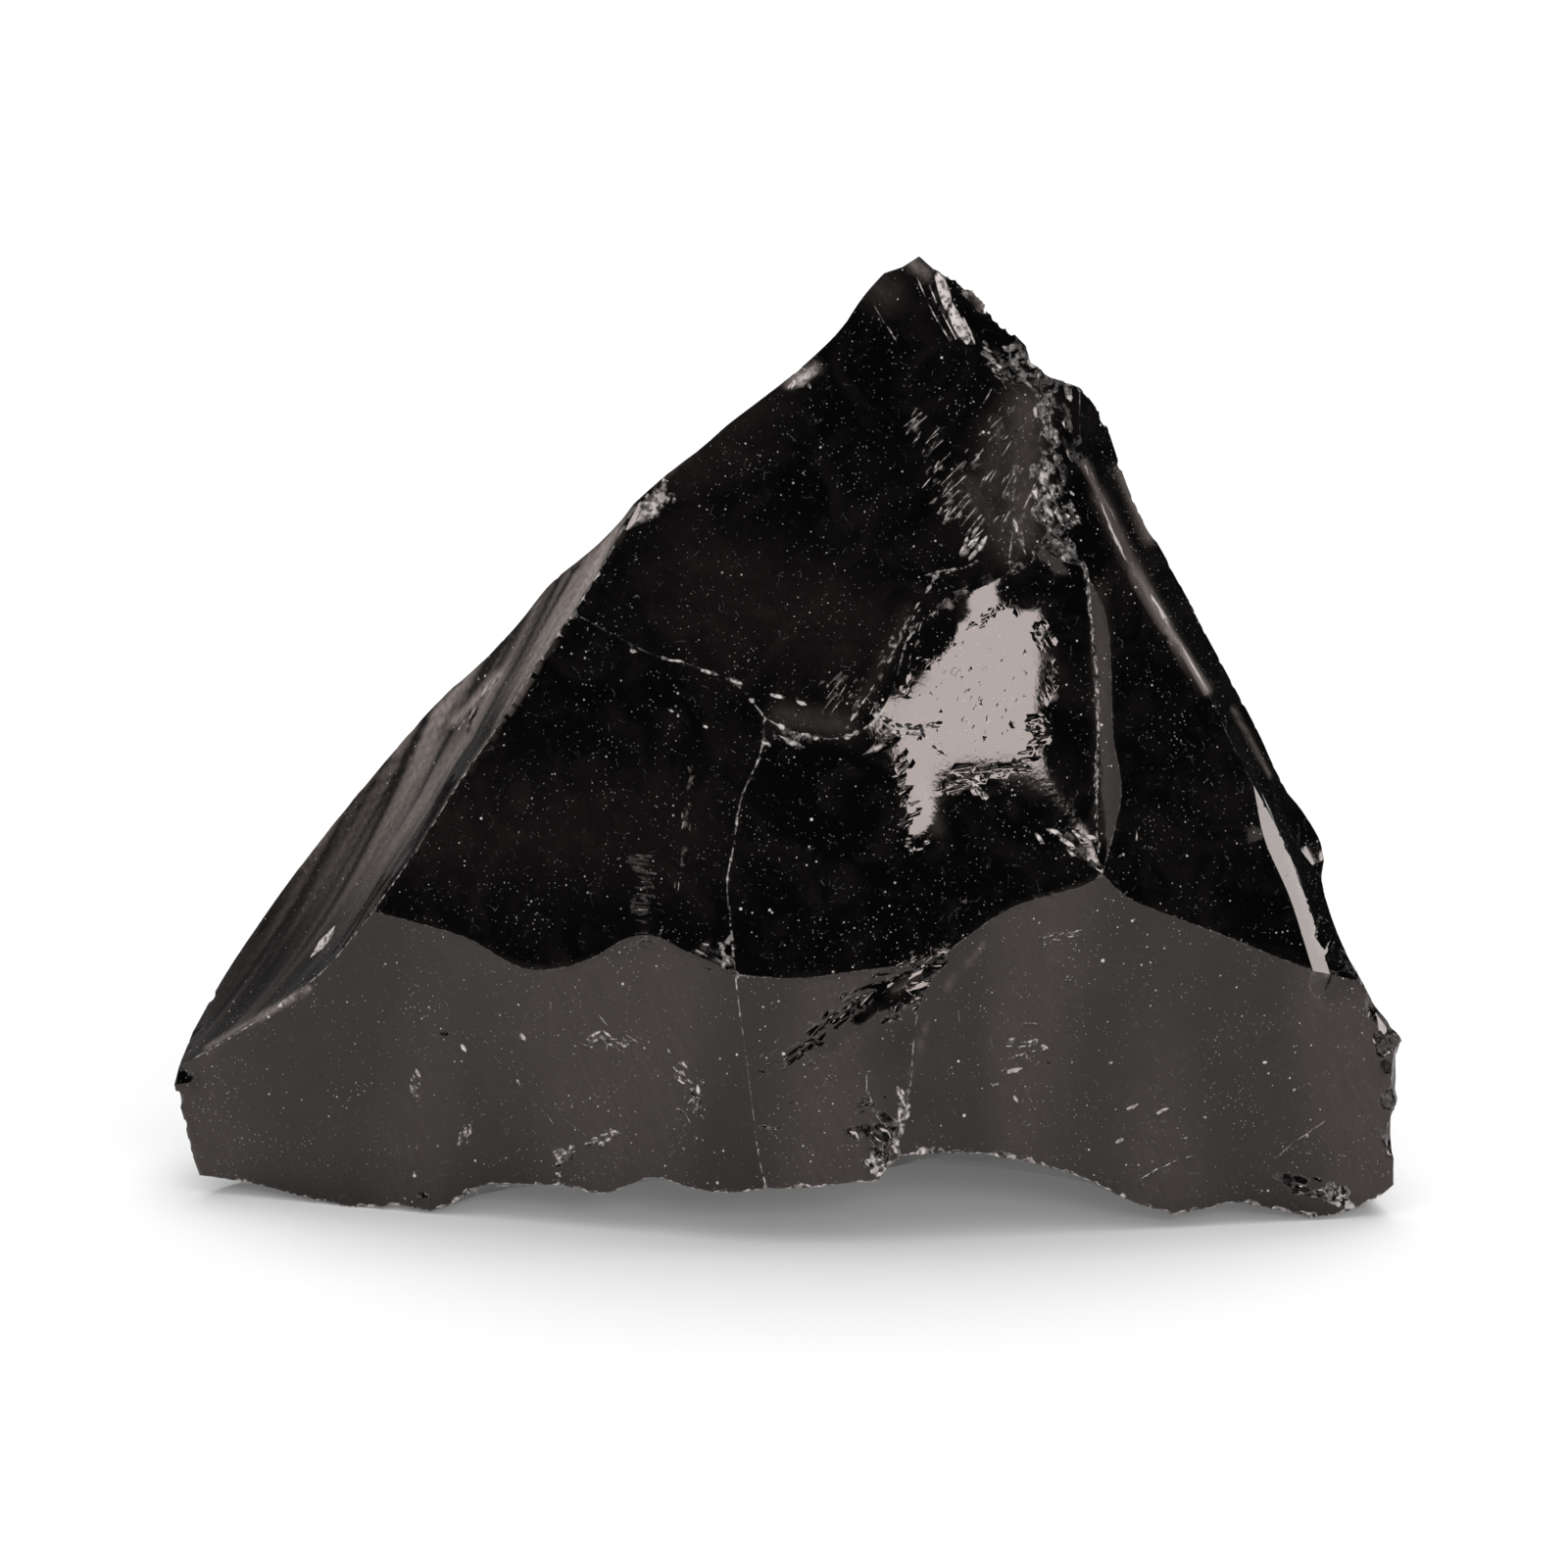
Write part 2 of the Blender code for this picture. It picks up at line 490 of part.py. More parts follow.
def stretch_skin(flat, faces, rim_heights, hollow, pressing):
    """Heights of a skin held at its rim and pressed in until its deepest point is the hollow."""
    count, rim = len(flat), len(rim_heights)
    stiffness = np.zeros((count, count))
    load = np.zeros(count)
    for face in faces:
        corners = flat[list(face)]
        area = abs(np.linalg.det([corners[1] - corners[0], corners[2] - corners[0]])) / 2
        for k in range(3):
            i, j = face[(k + 1) % 3], face[(k + 2) % 3]
            to_i, to_j = flat[i] - corners[k], flat[j] - corners[k]
            pull = to_i @ to_j / max(4 * area, 1e-9)
            stiffness[i, j] -= pull
            stiffness[j, i] -= pull
            stiffness[i, i] += pull
            stiffness[j, j] += pull
            load[face[k]] += area / 3
    heights = np.zeros(count)
    heights[:rim] = rim_heights
    if count > rim:
        inner = stiffness[rim:, rim:]
        heights[rim:] = np.linalg.solve(inner, -stiffness[rim:, :rim] @ heights[:rim])
        pressed = np.linalg.solve(inner, load[rim:] * pressing[rim:])
        heights[rim:] -= hollow * pressed / pressed.max()
        return heights, np.concatenate([np.zeros(rim), pressed / pressed.max()])
    return heights, np.zeros(count)


def fill_scar(scar, loop):
    """The points and triangles of one scar; its first points are those of its loop."""
    centre, axes = flatten(loop)
    if axes[2] @ (centre - MIDDLE) < 0:
        loop = loop[::-1]
        centre, axes = flatten(loop)
    local = (loop - centre) @ axes.T
    flat, faces = triangulate(local[:, :2], scar.grain)
    pressing = np.ones(len(flat))
    if scar.struck:
        struck = (np.array(scar.struck) - centre) @ axes.T
        away = np.linalg.norm(flat - struck[:2], axis=1)
        pressing = BLOW_REST + np.exp(-(away / scar.reach) ** 2)
    heights, openness = stretch_skin(flat, faces, local[:, 2], scar.hollow, pressing)
    places = centre + np.column_stack([flat, heights]) @ axes
    if scar.ripple:
        distance = np.linalg.norm(places - np.array(scar.struck), axis=1)
        wave = scar.ripple * np.cos(2 * math.pi * distance / RIPPLE_LENGTH)
        places = places + np.outer(wave * np.sqrt(openness), axes[2])
    places[:len(loop)] = loop
    return places, faces


def build_stone(ridges):
    stone = bmesh.new()
    welded = {}
    for name, scar in SCARS.items():
        places, faces = fill_scar(scar, scar_loop(scar, ridges))
        corners = []
        for place in places:
            key = tuple(np.round(place, 4))
            if key not in welded:
                welded[key] = stone.verts.new(place * MILLIMETRE)
            corners.append(welded[key])
        for face in faces:
            stone.faces.new([corners[index] for index in face])
    bmesh.ops.recalc_face_normals(stone, faces=stone.faces)
    return stone


def flake_cutter(stone, ridges):
    """Balls whose caps are the flake scars: each one only dips into its ridge."""
    balls = bmesh.new()
    for name, fraction, width, depth in FLAKES:
        points = ridges[name]
        place = Vector(points[round(fraction * (len(points) - 1))]) * MILLIMETRE
        nearest = min(stone.verts, key=lambda vertex: (vertex.co - place).length)
        radius = ((width / 2) ** 2 + depth ** 2) / (2 * depth) * MILLIMETRE
        centre = place + nearest.normal * (radius - depth * MILLIMETRE)
        ball = bmesh.ops.create_icosphere(balls, subdivisions=FLAKE_FINENESS, radius=radius)
        bmesh.ops.translate(balls, verts=ball["verts"], vec=centre)
    return balls


def way_to_origin(stone):
    """The move that puts the origin under the middle of the stone, on the floor."""
    places = np.array([vertex.co for vertex in stone.verts])
    low, high = places.min(axis=0), places.max(axis=0)
    return Vector((-(low[0] + high[0]) / 2, -(low[1] + high[1]) / 2, -low[2]))


def add_object(name, mesh_in_making, move):
    bmesh.ops.translate(mesh_in_making, verts=mesh_in_making.verts, vec=move)
    mesh = bpy.data.meshes.new(name)
    mesh_in_making.to_mesh(mesh)
    mesh_in_making.free()
    made = bpy.data.objects.new(name, mesh)
    bpy.context.collection.objects.link(made)
    return made


def obsidian():
    material = bpy.data.materials.new("obsidian")
    material.use_nodes = True
    shader = material.node_tree.nodes["Principled BSDF"]
    shader.inputs["Base Color"].default_value = (0.006, 0.006, 0.006, 1.0)
    shader.inputs["Roughness"].default_value = 0.05
    shader.inputs["Metallic"].default_value = 0.0
    shader.inputs["IOR"].default_value = 1.5
    return material


for leftover in list(bpy.data.objects):
    bpy.data.objects.remove(leftover, do_unlink=True)

noise.seed_set(WANDER_SEED)
ridges = lay_ridges()
stone = build_stone(ridges)
stone.normal_update()
cutter = flake_cutter(stone, ridges)
move = way_to_origin(stone)
chunk = add_object("obsidian_chunk", stone, move)
chunk.data.materials.append(obsidian())
flakes = add_object("flake_cutter", cutter, move)
flakes.hide_render = True
flakes.display_type = "WIRE"
knock = chunk.modifiers.new("flakes", "BOOLEAN")
knock.operation = "DIFFERENCE"
knock.solver = "EXACT"
knock.object = flakes
chunk.data.shade_smooth()
chunk.data.set_sharp_from_angle(angle=SHARP_ANGLE)
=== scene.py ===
import math
import random
from typing import NamedTuple

import bmesh
import bpy
import numpy as np
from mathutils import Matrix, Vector, noise
from mathutils.bvhtree import BVHTree
from mathutils.kdtree import KDTree


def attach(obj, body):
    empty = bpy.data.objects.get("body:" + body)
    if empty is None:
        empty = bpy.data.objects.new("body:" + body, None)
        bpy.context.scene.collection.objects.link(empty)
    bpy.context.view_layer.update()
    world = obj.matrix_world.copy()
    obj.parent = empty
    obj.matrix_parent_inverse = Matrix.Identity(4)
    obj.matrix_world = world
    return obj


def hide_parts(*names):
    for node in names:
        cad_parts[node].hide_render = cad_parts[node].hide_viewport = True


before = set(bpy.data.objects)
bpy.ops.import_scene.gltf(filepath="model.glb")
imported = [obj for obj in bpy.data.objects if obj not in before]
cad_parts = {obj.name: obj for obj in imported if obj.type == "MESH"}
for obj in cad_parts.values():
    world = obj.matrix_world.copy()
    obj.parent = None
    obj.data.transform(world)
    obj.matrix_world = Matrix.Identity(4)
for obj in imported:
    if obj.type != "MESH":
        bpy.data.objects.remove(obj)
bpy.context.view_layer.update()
MM = 0.001

# ------------------------------------------------
# The stone. One lump of black volcanic glass, with no grain inside it, so every blow has left a
# smooth hollow scar. The scars meet in sharp ridges, and the mesh below is the frame's solid with
# each scar rounded out smoothly between ridges that stay sharp.
# ------------------------------------------------
RIDGE_ANGLE = math.radians(8.5)
SHORT_RIDGE = 4
SMOOTHING_ROUNDS = 2
SAME_POINT = 0.002 * MM
SLIVER = 0.01 * MM


def read_solid(node):
    """The corner points and triangles of a frame solid, with doubled points joined."""
    solid = bmesh.new()
    solid.from_mesh(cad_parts[node].data)
    bmesh.ops.remove_doubles(solid, verts=solid.verts, dist=SAME_POINT)
    bmesh.ops.triangulate(solid, faces=solid.faces)
    bmesh.ops.dissolve_degenerate(solid, edges=solid.edges, dist=SLIVER)
    bmesh.ops.triangulate(solid, faces=solid.faces)
    solid.verts.index_update()
    points = np.array([vertex.co for vertex in solid.verts])
    triangles = np.array([[vertex.index for vertex in face.verts] for face in solid.faces])
    solid.free()
    return points, triangles


def edge_table(triangles):
    """Each edge once, the edge on each side of each triangle, and each edge's two triangles."""
    sides = np.concatenate([triangles[:, [0, 1]], triangles[:, [1, 2]], triangles[:, [2, 0]]])
    edges, side_edge = np.unique(np.sort(sides, axis=1), axis=0, return_inverse=True)
    side_edge = side_edge.reshape(3, -1).T
    order = np.argsort(side_edge.ravel(), kind="stable")
    owners = (order // 3).reshape(-1, 2)
    return edges, side_edge, owners


def triangle_normals(points, triangles):
    a, b, c = (points[triangles[:, k]] for k in range(3))
    normals = np.cross(b - a, c - a)
    return normals / np.maximum(np.linalg.norm(normals, axis=1), 1e-15)[:, None]


def find_ridges(points, triangles):
    """Marks the edges where two scars meet, without the short strays inside a scar."""
    edges, _, owners = edge_table(triangles)
    normals = triangle_normals(points, triangles)
    bend = np.clip((normals[owners[:, 0]] * normals[owners[:, 1]]).sum(axis=1), -1, 1)
    sharp = bend < math.cos(RIDGE_ANGLE)
    touching = {}
    for number in np.flatnonzero(sharp):
        for corner in edges[number]:
            touching.setdefault(corner, []).append(number)
    seen = set()
    for start in np.flatnonzero(sharp):
        if start in seen:
            continue
        group, waiting = [], [start]
        seen.add(start)
        while waiting:
            number = waiting.pop()
            group.append(number)
            for corner in edges[number]:
                for other in touching[corner]:
                    if other not in seen:
                        seen.add(other)
                        waiting.append(other)
        if len(group) < SHORT_RIDGE:
            sharp[group] = False
    return sharp


def round_out(points, triangles, sharp):
    """Splits each triangle in four and draws the surface smooth, but keeps sharp edges sharp.

    The shares of the neighbours are those of Loop's rule for smooth surfaces.
    """
    edges, side_edge, owners = edge_table(triangles)
    count = len(points)
    ends = points[edges[:, 0]] + points[edges[:, 1]]
    across = np.zeros_like(ends)
    for side in range(2):
        corners = triangles[owners[:, side]]
        across += points[corners].sum(axis=1) - ends
    middles = np.where(sharp[:, None], ends / 2, 0.375 * ends + 0.125 * across)

    neighbours = np.zeros((count, 3))
    valence = np.zeros(count)
    ridge_sum = np.zeros((count, 3))
    ridge_count = np.zeros(count)
    for near, far in ((0, 1), (1, 0)):
        np.add.at(neighbours, edges[:, near], points[edges[:, far]])
        np.add.at(valence, edges[:, near], 1)
        np.add.at(ridge_sum, edges[sharp, near], points[edges[sharp, far]])
        np.add.at(ridge_count, edges[sharp, near], 1)
    pull = (0.625 - (0.375 + 0.25 * np.cos(2 * math.pi / valence)) ** 2) / valence
    smooth = points * (1 - valence * pull)[:, None] + neighbours * pull[:, None]
    on_ridge = 0.75 * points + 0.125 * ridge_sum
    kind = ridge_count[:, None]
    moved = np.where(kind < 2, smooth, np.where(kind == 2, on_ridge, points))

    ab, bc, ca = (side_edge[:, k] + count for k in range(3))
    a, b, c = triangles.T
    finer = np.concatenate([np.column_stack([a, ab, ca]), np.column_stack([ab, b, bc]),
                            np.column_stack([ca, bc, c]), np.column_stack([ab, bc, ca])])
    halves = np.concatenate([np.column_stack([edges[:, 0], np.arange(len(edges)) + count]),
                             np.column_stack([edges[:, 1], np.arange(len(edges)) + count])])
    sharp_pairs = np.sort(halves[np.concatenate([sharp, sharp])], axis=1)
    finer_points = np.concatenate([moved, middles])
    finer_edges, _, _ = edge_table(finer)
    size = len(finer_points)
    still_sharp = np.isin(finer_edges[:, 0] * size + finer_edges[:, 1],
                          sharp_pairs[:, 0] * size + sharp_pairs[:, 1])
    return finer_points, finer, still_sharp


points, triangles = read_solid("obsidian_chunk")
sharp = find_ridges(points, triangles)
for _ in range(SMOOTHING_ROUNDS):
    points, triangles, sharp = round_out(points, triangles, sharp)

# ------------------------------------------------
# Ripples and streaks. The force of a blow runs through the glass in waves, and leaves low
# ripples across a scar and fine streaks along it. They are strongest on the two flanks.
# ------------------------------------------------
BOARD_LEAN = math.radians(12)
BOARD_FOOT = Vector((-0.244, -16.906, 0.699)) * MM
RIGHT = Vector((1, 0, 0))
UP = Vector((0, math.sin(BOARD_LEAN), math.cos(BOARD_LEAN)))
OUT = Vector((0, -math.cos(BOARD_LEAN), math.sin(BOARD_LEAN)))


def on_board(places):
    """How far across and up the leaning front of the stone the places are, in mm."""
    from_foot = places - np.array(BOARD_FOOT)
    return from_foot @ np.array(RIGHT) / MM, from_foot @ np.array(UP) / MM


def corner_normals(points, triangles):
    """The average way that the surface faces at each point."""
    a, b, c = (points[triangles[:, k]] for k in range(3))
    weighted = np.cross(b - a, c - a)
    total = np.zeros_like(points)
    for k in range(3):
        np.add.at(total, triangles[:, k], weighted)
    return total / np.maximum(np.linalg.norm(total, axis=1), 1e-20)[:, None]


def noise_at(places, stretch):
    """Smooth noise from about -1 to 1 at each place, drawn out by the stretch along each axis."""
    return np.array([noise.noise(Vector(place)) for place in (places / np.array(stretch))])


# The two steep flanks: how each faces (turn and lean), and the slope of its long way up.
FLANKS = {"left": (-62, 27, 1.2), "right": (62, 24, -1.75)}
STREAK_WIDTH = 1.1
STREAK_LENGTH = 16.0
STREAK_HEIGHT = 0.05
# The broad streaks next to these fine ones.
BROAD_LENGTH = 0.7
BROAD_WIDTH = 2.6
BROAD_HEIGHT = 2.2
BROAD_SHIFT = 40
# Where a flank begins and ends, by height in mm and by how far the surface turns in degrees.
FLANK_FOOT, FOOT_FADE = 1, 2
FLANK_TOP, TOP_FADE = 49, 4
LEAST_TURN, MOST_TURN, TURN_FADE = 45, 105, 8


def facing_way(turn, lean):
    """A direction by its turn to the right of straight ahead, and its lean above level."""
    turn, lean = math.radians(turn), math.radians(lean)
    return Vector((math.sin(turn) * math.cos(lean), -math.cos(turn) * math.cos(lean),
                   math.sin(lean)))


def flank_places(points, normals, side):
    """How far along and beside a flank each point is, in mm, and how much it is part of it."""
    turn, lean, slope = FLANKS[side]
    out = facing_way(turn, lean)
    along = RIGHT * math.copysign(1, slope) + UP * abs(slope)
    along = (along - out * along.dot(out)).normalized()
    beside = out.cross(along)
    across, up = on_board(points)
    turned = np.degrees(np.arctan2(normals[:, 0], -normals[:, 1])) * math.copysign(1, turn)
    part = np.clip((turned - LEAST_TURN) / TURN_FADE, 0, 1)
    part *= np.clip((MOST_TURN - turned) / TURN_FADE, 0, 1)
    part *= np.clip((up - FLANK_FOOT) / FOOT_FADE, 0, 1)
    part *= np.clip((FLANK_TOP - up) / TOP_FADE, 0, 1)
    return points @ np.array(along) / MM, points @ np.array(beside) / MM, part


def streak_noise(along, beside, part, length, width, shift=0.0):
    """Noise drawn out along a flank, where there is flank."""
    values = np.zeros(len(part))
    chosen = np.flatnonzero(part > 0)
    places = np.column_stack([along, beside, np.full(len(along), shift)])[chosen]
    values[chosen] = noise_at(places, (length, width, 1)) * part[chosen]
    return values


def streaks(points, normals):
    """Height of the streaks on the two steep flanks, which run from the top to the foot."""
    heights = np.zeros(len(points))
    for side in FLANKS:
        along, beside, part = flank_places(points, normals, side)
        heights += streak_noise(along, beside, part, STREAK_LENGTH, STREAK_WIDTH)
        broad = streak_noise(along, beside, part, STREAK_LENGTH * BROAD_LENGTH,
                             STREAK_WIDTH * BROAD_WIDTH, BROAD_SHIFT)
        heights += BROAD_HEIGHT * broad
    return heights * STREAK_HEIGHT


# Marks are laid out on the front's board, which is ruled in fine squares. A square is counted
# to the right and down. Widths, lengths and heights are in mm.
SQUARES = 16
FOOT_SQUARE = (800, 1243)


def place_of(x, y):
    """How far across and up the board a square is, in mm."""
    return (x - FOOT_SQUARE[0]) / SQUARES, (FOOT_SQUARE[1] - y) / SQUARES


# Low humps and dents: the middle, half width, half height, and how far each stands out.
HUMPS = [
    (930, 868, 1.3, 2.2, 0.2), (1018, 582, 2.4, 1.5, 0.14), (985, 638, 1.6, 1.5, 0.13),
    (935, 1020, 0.9, 1.0, 0.22), (910, 1036, 1.2, 1.2, 0.30), (878, 1056, 1.1, 1.0, 0.26),
    (848, 1078, 1.0, 0.8, 0.2),
    (545, 700, 0.9, 0.6, 0.10), (492, 752, 1.3, 0.5, -0.10), (470, 800, 0.8, 1.1, 0.09),
    (430, 812, 0.7, 1.4, -0.09), (500, 705, 1.0, 0.5, 0.08), (395, 880, 0.8, 1.8, 0.08),
]


def humps(points, normals):
    across, up = on_board(points)
    ahead = normals @ np.array(OUT) > 0
    heights = np.zeros(len(points))
    for x, y, half_width, half_height, height in HUMPS:
        middle_across, middle_up = place_of(x, y)
        away = ((across - middle_across) / half_width) ** 2
        away += ((up - middle_up) / half_height) ** 2
        heights += height * np.exp(-away / 2)
    return heights * ahead


WAVE_LENGTH = 9.0
WAVE_HEIGHT = 0.012
normals = corner_normals(points, triangles)
waves = noise_at(points / MM, (WAVE_LENGTH,) * 3) * WAVE_HEIGHT
rise = streaks(points, normals) + humps(points, normals) + waves
points = points + normals * (rise * MM)[:, None]

# ------------------------------------------------
# Chips and bruises. Thin edges have splintered in rows of tiny scoops, the right-hand ridge is
# crushed, and knocks have left short ticks and pits on the scars. Each is cut out of the glass
# with a small round or cornered cutter. Some are clear, and some frosted, where it is shattered.
# ------------------------------------------------
class Cut(NamedTuple):
    centre: np.ndarray
    axes: np.ndarray
    frost: float
    cornered: bool


def ball(detail):
    """The points and triangles of a ball of radius 1."""
    making = bmesh.new()
    bmesh.ops.create_icosphere(making, subdivisions=detail, radius=1)
    making.verts.index_update()
    places = np.array([vertex.co for vertex in making.verts])
    faces = np.array([[vertex.index for vertex in face.verts] for face in making.faces])
    making.free()
    return places, faces


BALLS = {detail: ball(detail) for detail in (1, 2, 3)}
BIG_CUT = 0.9 * MM
THIN_CUT = 0.09 * MM
UNEVEN_SIZE = 0.45
UNEVEN_SHARE = 0.16


def apart(cut, others):
    """True where a cut is clear of all the others."""
    reach = np.linalg.norm(cut.axes, axis=1).max()
    for other in others:
        room = reach + np.linalg.norm(other.axes, axis=1).max()
        if np.linalg.norm(cut.centre - other.centre) < room:
            return False
    return True


def in_turns(cuts):
    """Shares the cuts out into rounds, so that no two of a round touch."""
    rounds = []
    for cut in cuts:
        for members in rounds:
            if apart(cut, members):
                members.append(cut)
                break
        else:
            rounds.append([cut])
    return rounds


def cutter_object(cuts):
    places, faces, frosts = [], [], []
    count = 0
    for cut in cuts:
        big = np.linalg.norm(cut.axes, axis=1).max() > BIG_CUT
        thin = np.linalg.norm(cut.axes[1]) < THIN_CUT
        unit, triangles = BALLS[1 if cut.cornered or thin else 3 if big else 2]
        uneven = noise_at(unit + cut.centre / MM, (UNEVEN_SIZE,) * 3) * UNEVEN_SHARE
        unit = unit * (1 + uneven)[:, None]
        places.append(unit @ cut.axes + cut.centre)
        faces.append(triangles + count)
        frosts.append(np.full(len(unit), cut.frost))
        count += len(unit)
    mesh = bpy.data.meshes.new("cutter")
    mesh.from_pydata(np.concatenate(places).tolist(), [], np.concatenate(faces).tolist())
    frost = mesh.attributes.new("frost", "FLOAT", "POINT")
    frost.data.foreach_set("value", np.concatenate(frosts).astype(np.float32))
    cutter = bpy.data.objects.new("cutter", mesh)
    bpy.context.collection.objects.link(cutter)
    return cutter


def take_off(stone, cuts):
    """Cuts every chip out of the stone, in rounds of chips that are clear of each other."""
    for members in in_turns(cuts):
        cutter = cutter_object(members)
        knock = stone.modifiers.new("chips", "BOOLEAN")
        knock.operation = "DIFFERENCE"
        knock.solver = "MANIFOLD"
        knock.object = cutter
        ready = bpy.context.evaluated_depsgraph_get()
        chipped = bpy.data.meshes.new_from_object(stone.evaluated_get(ready),
                                                  preserve_all_data_layers=True,
                                                  depsgraph=ready)
        stone.modifiers.remove(knock)
        worn = stone.data
        stone.data = chipped
        bpy.data.meshes.remove(worn)
        cutter_mesh = cutter.data
        bpy.data.objects.remove(cutter)
        bpy.data.meshes.remove(cutter_mesh)


LENS_SHARE = 1 / math.sqrt(3)


def cut_at(place, normal, along, length, width, depth, frost, cornered):
    """A lens-shaped cutter that leaves a hollow of this length, width and depth."""
    flat = (along - normal * normal.dot(along)).normalized()
    axes = np.array([flat * length * LENS_SHARE, normal.cross(flat) * width * LENS_SHARE,
                     normal * depth * 2])
    return Cut(np.array(place + normal * depth), axes, frost, cornered)


stone_mesh = bpy.data.meshes.new("obsidian_stone")
stone_mesh.from_pydata(points.tolist(), [], triangles.tolist())
stone_mesh.attributes.new("frost", "FLOAT", "POINT")
edges, _, _ = edge_table(triangles)
sharp_pairs = {tuple(pair) for pair in edges[sharp].tolist()}
marks = np.array([tuple(sorted(edge.vertices)) in sharp_pairs for edge in stone_mesh.edges])
stone_mesh.edges.foreach_set("use_edge_sharp", marks)
stone = bpy.data.objects.new("obsidian_stone", stone_mesh)
bpy.context.collection.objects.link(stone)

surface = BVHTree.FromPolygons(points.tolist(), triangles.tolist())
facing = corner_normals(points, triangles)
ridge_points = np.unique(edges[sharp])
ridge_tree = KDTree(len(ridge_points))
for number in ridge_points:
    ridge_tree.insert(points[number], number)
ridge_tree.balance()
IN_FRONT = 100 * MM


def on_face(x, y):
    """The place on the front of the stone at this square, and how it faces."""
    across, up = place_of(x, y)
    start = BOARD_FOOT + (RIGHT * across + UP * up) * MM
    place, normal, _, _ = surface.ray_cast(start + OUT * IN_FRONT, -OUT)
    if place is None:
        place, normal, _, _ = surface.find_nearest(start)
    return place, normal


def on_ridge(x, y):
    """The point of a ridge nearest to this square, and how it faces."""
    _, number, _ = ridge_tree.find(on_face(x, y)[0])
    return Vector(points[number]), Vector(facing[number])


def tilted(normal, tip, sway=0.0):
    """Turns a direction to face up by the tip and to the right by the sway, in degrees."""
    lean = UP * math.tan(math.radians(tip)) + RIGHT * math.tan(math.radians(sway))
    return (normal + lean).normalized()


UNEVEN_STEP = (0.4, 1.9)


def along_path(path, every, chance):
    """Squares along a path of straight runs, at uneven steps in mm, with the way it runs."""
    for (x0, y0), (x1, y1) in zip(path, path[1:]):
        run = math.hypot(x1 - x0, y1 - y0) / SQUARES
        way = (RIGHT * (x1 - x0) - UP * (y1 - y0)).normalized()
        done = every * chance.random()
        while done < run:
            share = done / run
            yield x0 + (x1 - x0) * share, y0 + (y1 - y0) * share, way
            done += every * chance.uniform(*UNEVEN_STEP)


CHIP_LENGTHS = (1.0, 2.4)
CHIP_LEAN = 0.5
CORNERED_SHARE = 0.4
FAR_CHIPS_FROM = 2 * MM
FAR_SIDE = 0.1
FAR_COUNT, FAR_WIDTHS, FAR_DEPTH, FAR_FROSTED = 90, (0.15, 0.9), 0.26, 0.3


def chip_size(widths, chance):
    """The width and length of a chip on a ridge. Small ones are the most common."""
    least, most = widths
    width = (least + (most - least) * chance.random() ** 2) * MM
    return width, width * chance.uniform(*CHIP_LENGTHS)


def ridge_chips(path, every, widths, depth_share, frosted, chance):
    """Chips along a ridge. Frosted is the share of them that is shattered."""
    cuts = []
    for x, y, way in along_path(path, every, chance):
        place, normal = on_ridge(x, y)
        width, length = chip_size(widths, chance)
        push = Vector([chance.uniform(-CHIP_LEAN, CHIP_LEAN) for _ in range(3)])
        lean = (normal + push).normalized()
        frost = chance.uniform(0.4, 1.0) if chance.random() < frosted else 0.0
        cornered = chance.random() < CORNERED_SHARE
        cuts.append(cut_at(place, lean, way, length, width, width * depth_share, frost, cornered))
    return cuts


def far_chips(count, widths, depth_share, chance):
    """Chips on the ridges at the back, which are as worn as those in front."""
    behind = [number for number in ridge_points.tolist()
              if facing[number] @ np.array(OUT) < FAR_SIDE and points[number][2] > FAR_CHIPS_FROM]
    cuts = []
    for number in chance.sample(behind, count):
        place, normal = Vector(points[number]), Vector(facing[number])
        width, length = chip_size(widths, chance)
        way = Vector([chance.uniform(-1, 1) for _ in range(3)])
        frost = chance.uniform(0.4, 0.9) if chance.random() < FAR_FROSTED else 0.0
        cornered = chance.random() < CORNERED_SHARE
        cuts.append(cut_at(place, normal, way, length, width, width * depth_share, frost, cornered))
    return cuts


STROKE_DEPTH = 0.2
SHORTEST_RUN = 0.1


def stroke_cut(x0, y0, x1, y1, width, frost, tip=0, cornered=False):
    """A hollow along a short line on the front of the stone."""
    place, normal = on_face((x0 + x1) / 2, (y0 + y1) / 2)
    way = RIGHT * (x1 - x0) - UP * (y1 - y0)
    run = way.length / SQUARES
    way = way.normalized() if run > SHORTEST_RUN else RIGHT
    return cut_at(place, tilted(normal, tip), way, (run + width) * MM, width * MM,
                  width * STROKE_DEPTH * MM, frost, cornered)


def step_cut(x0, y0, x1, y1, width, depth, tip, sway):
    """A broad clear hollow, turned to face another way."""
    place, normal = on_face((x0 + x1) / 2, (y0 + y1) / 2)
    way = RIGHT * (x1 - x0) - UP * (y1 - y0)
    length = way.length / SQUARES + width
    return cut_at(place, tilted(normal, tip, sway), way.normalized(), length * MM, width * MM,
                  depth * MM, 0.0, False)


BAND_DEPTH = 0.1
BAND_REACH = 1.15


def band_cut(x0, y0, x1, y1, width):
    """A shallow hollow that takes a length of ridge off."""
    place, normal = on_ridge((x0 + x1) / 2, (y0 + y1) / 2)
    way = on_ridge(x1, y1)[0] - on_ridge(x0, y0)[0]
    return cut_at(place, normal, way.normalized(), way.length * BAND_REACH, width * MM,
                  width * BAND_DEPTH * MM, 0.0, False)


class Torn(NamedTuple):
    """Marks strewn along a path: how far they stray, how many, their sizes, and how they lie.

    They lean by up to so many degrees to all sides, or by a range upwards and so many sideways.
    """
    path: list
    stray: float
    count: int
    lengths: tuple
    widths: tuple
    lean: object
    frosted: float = 0.0
    depth_share: float = 0.2
    heading: tuple = None
    cornered: bool = False


HEADING_DRIFT = 0.12


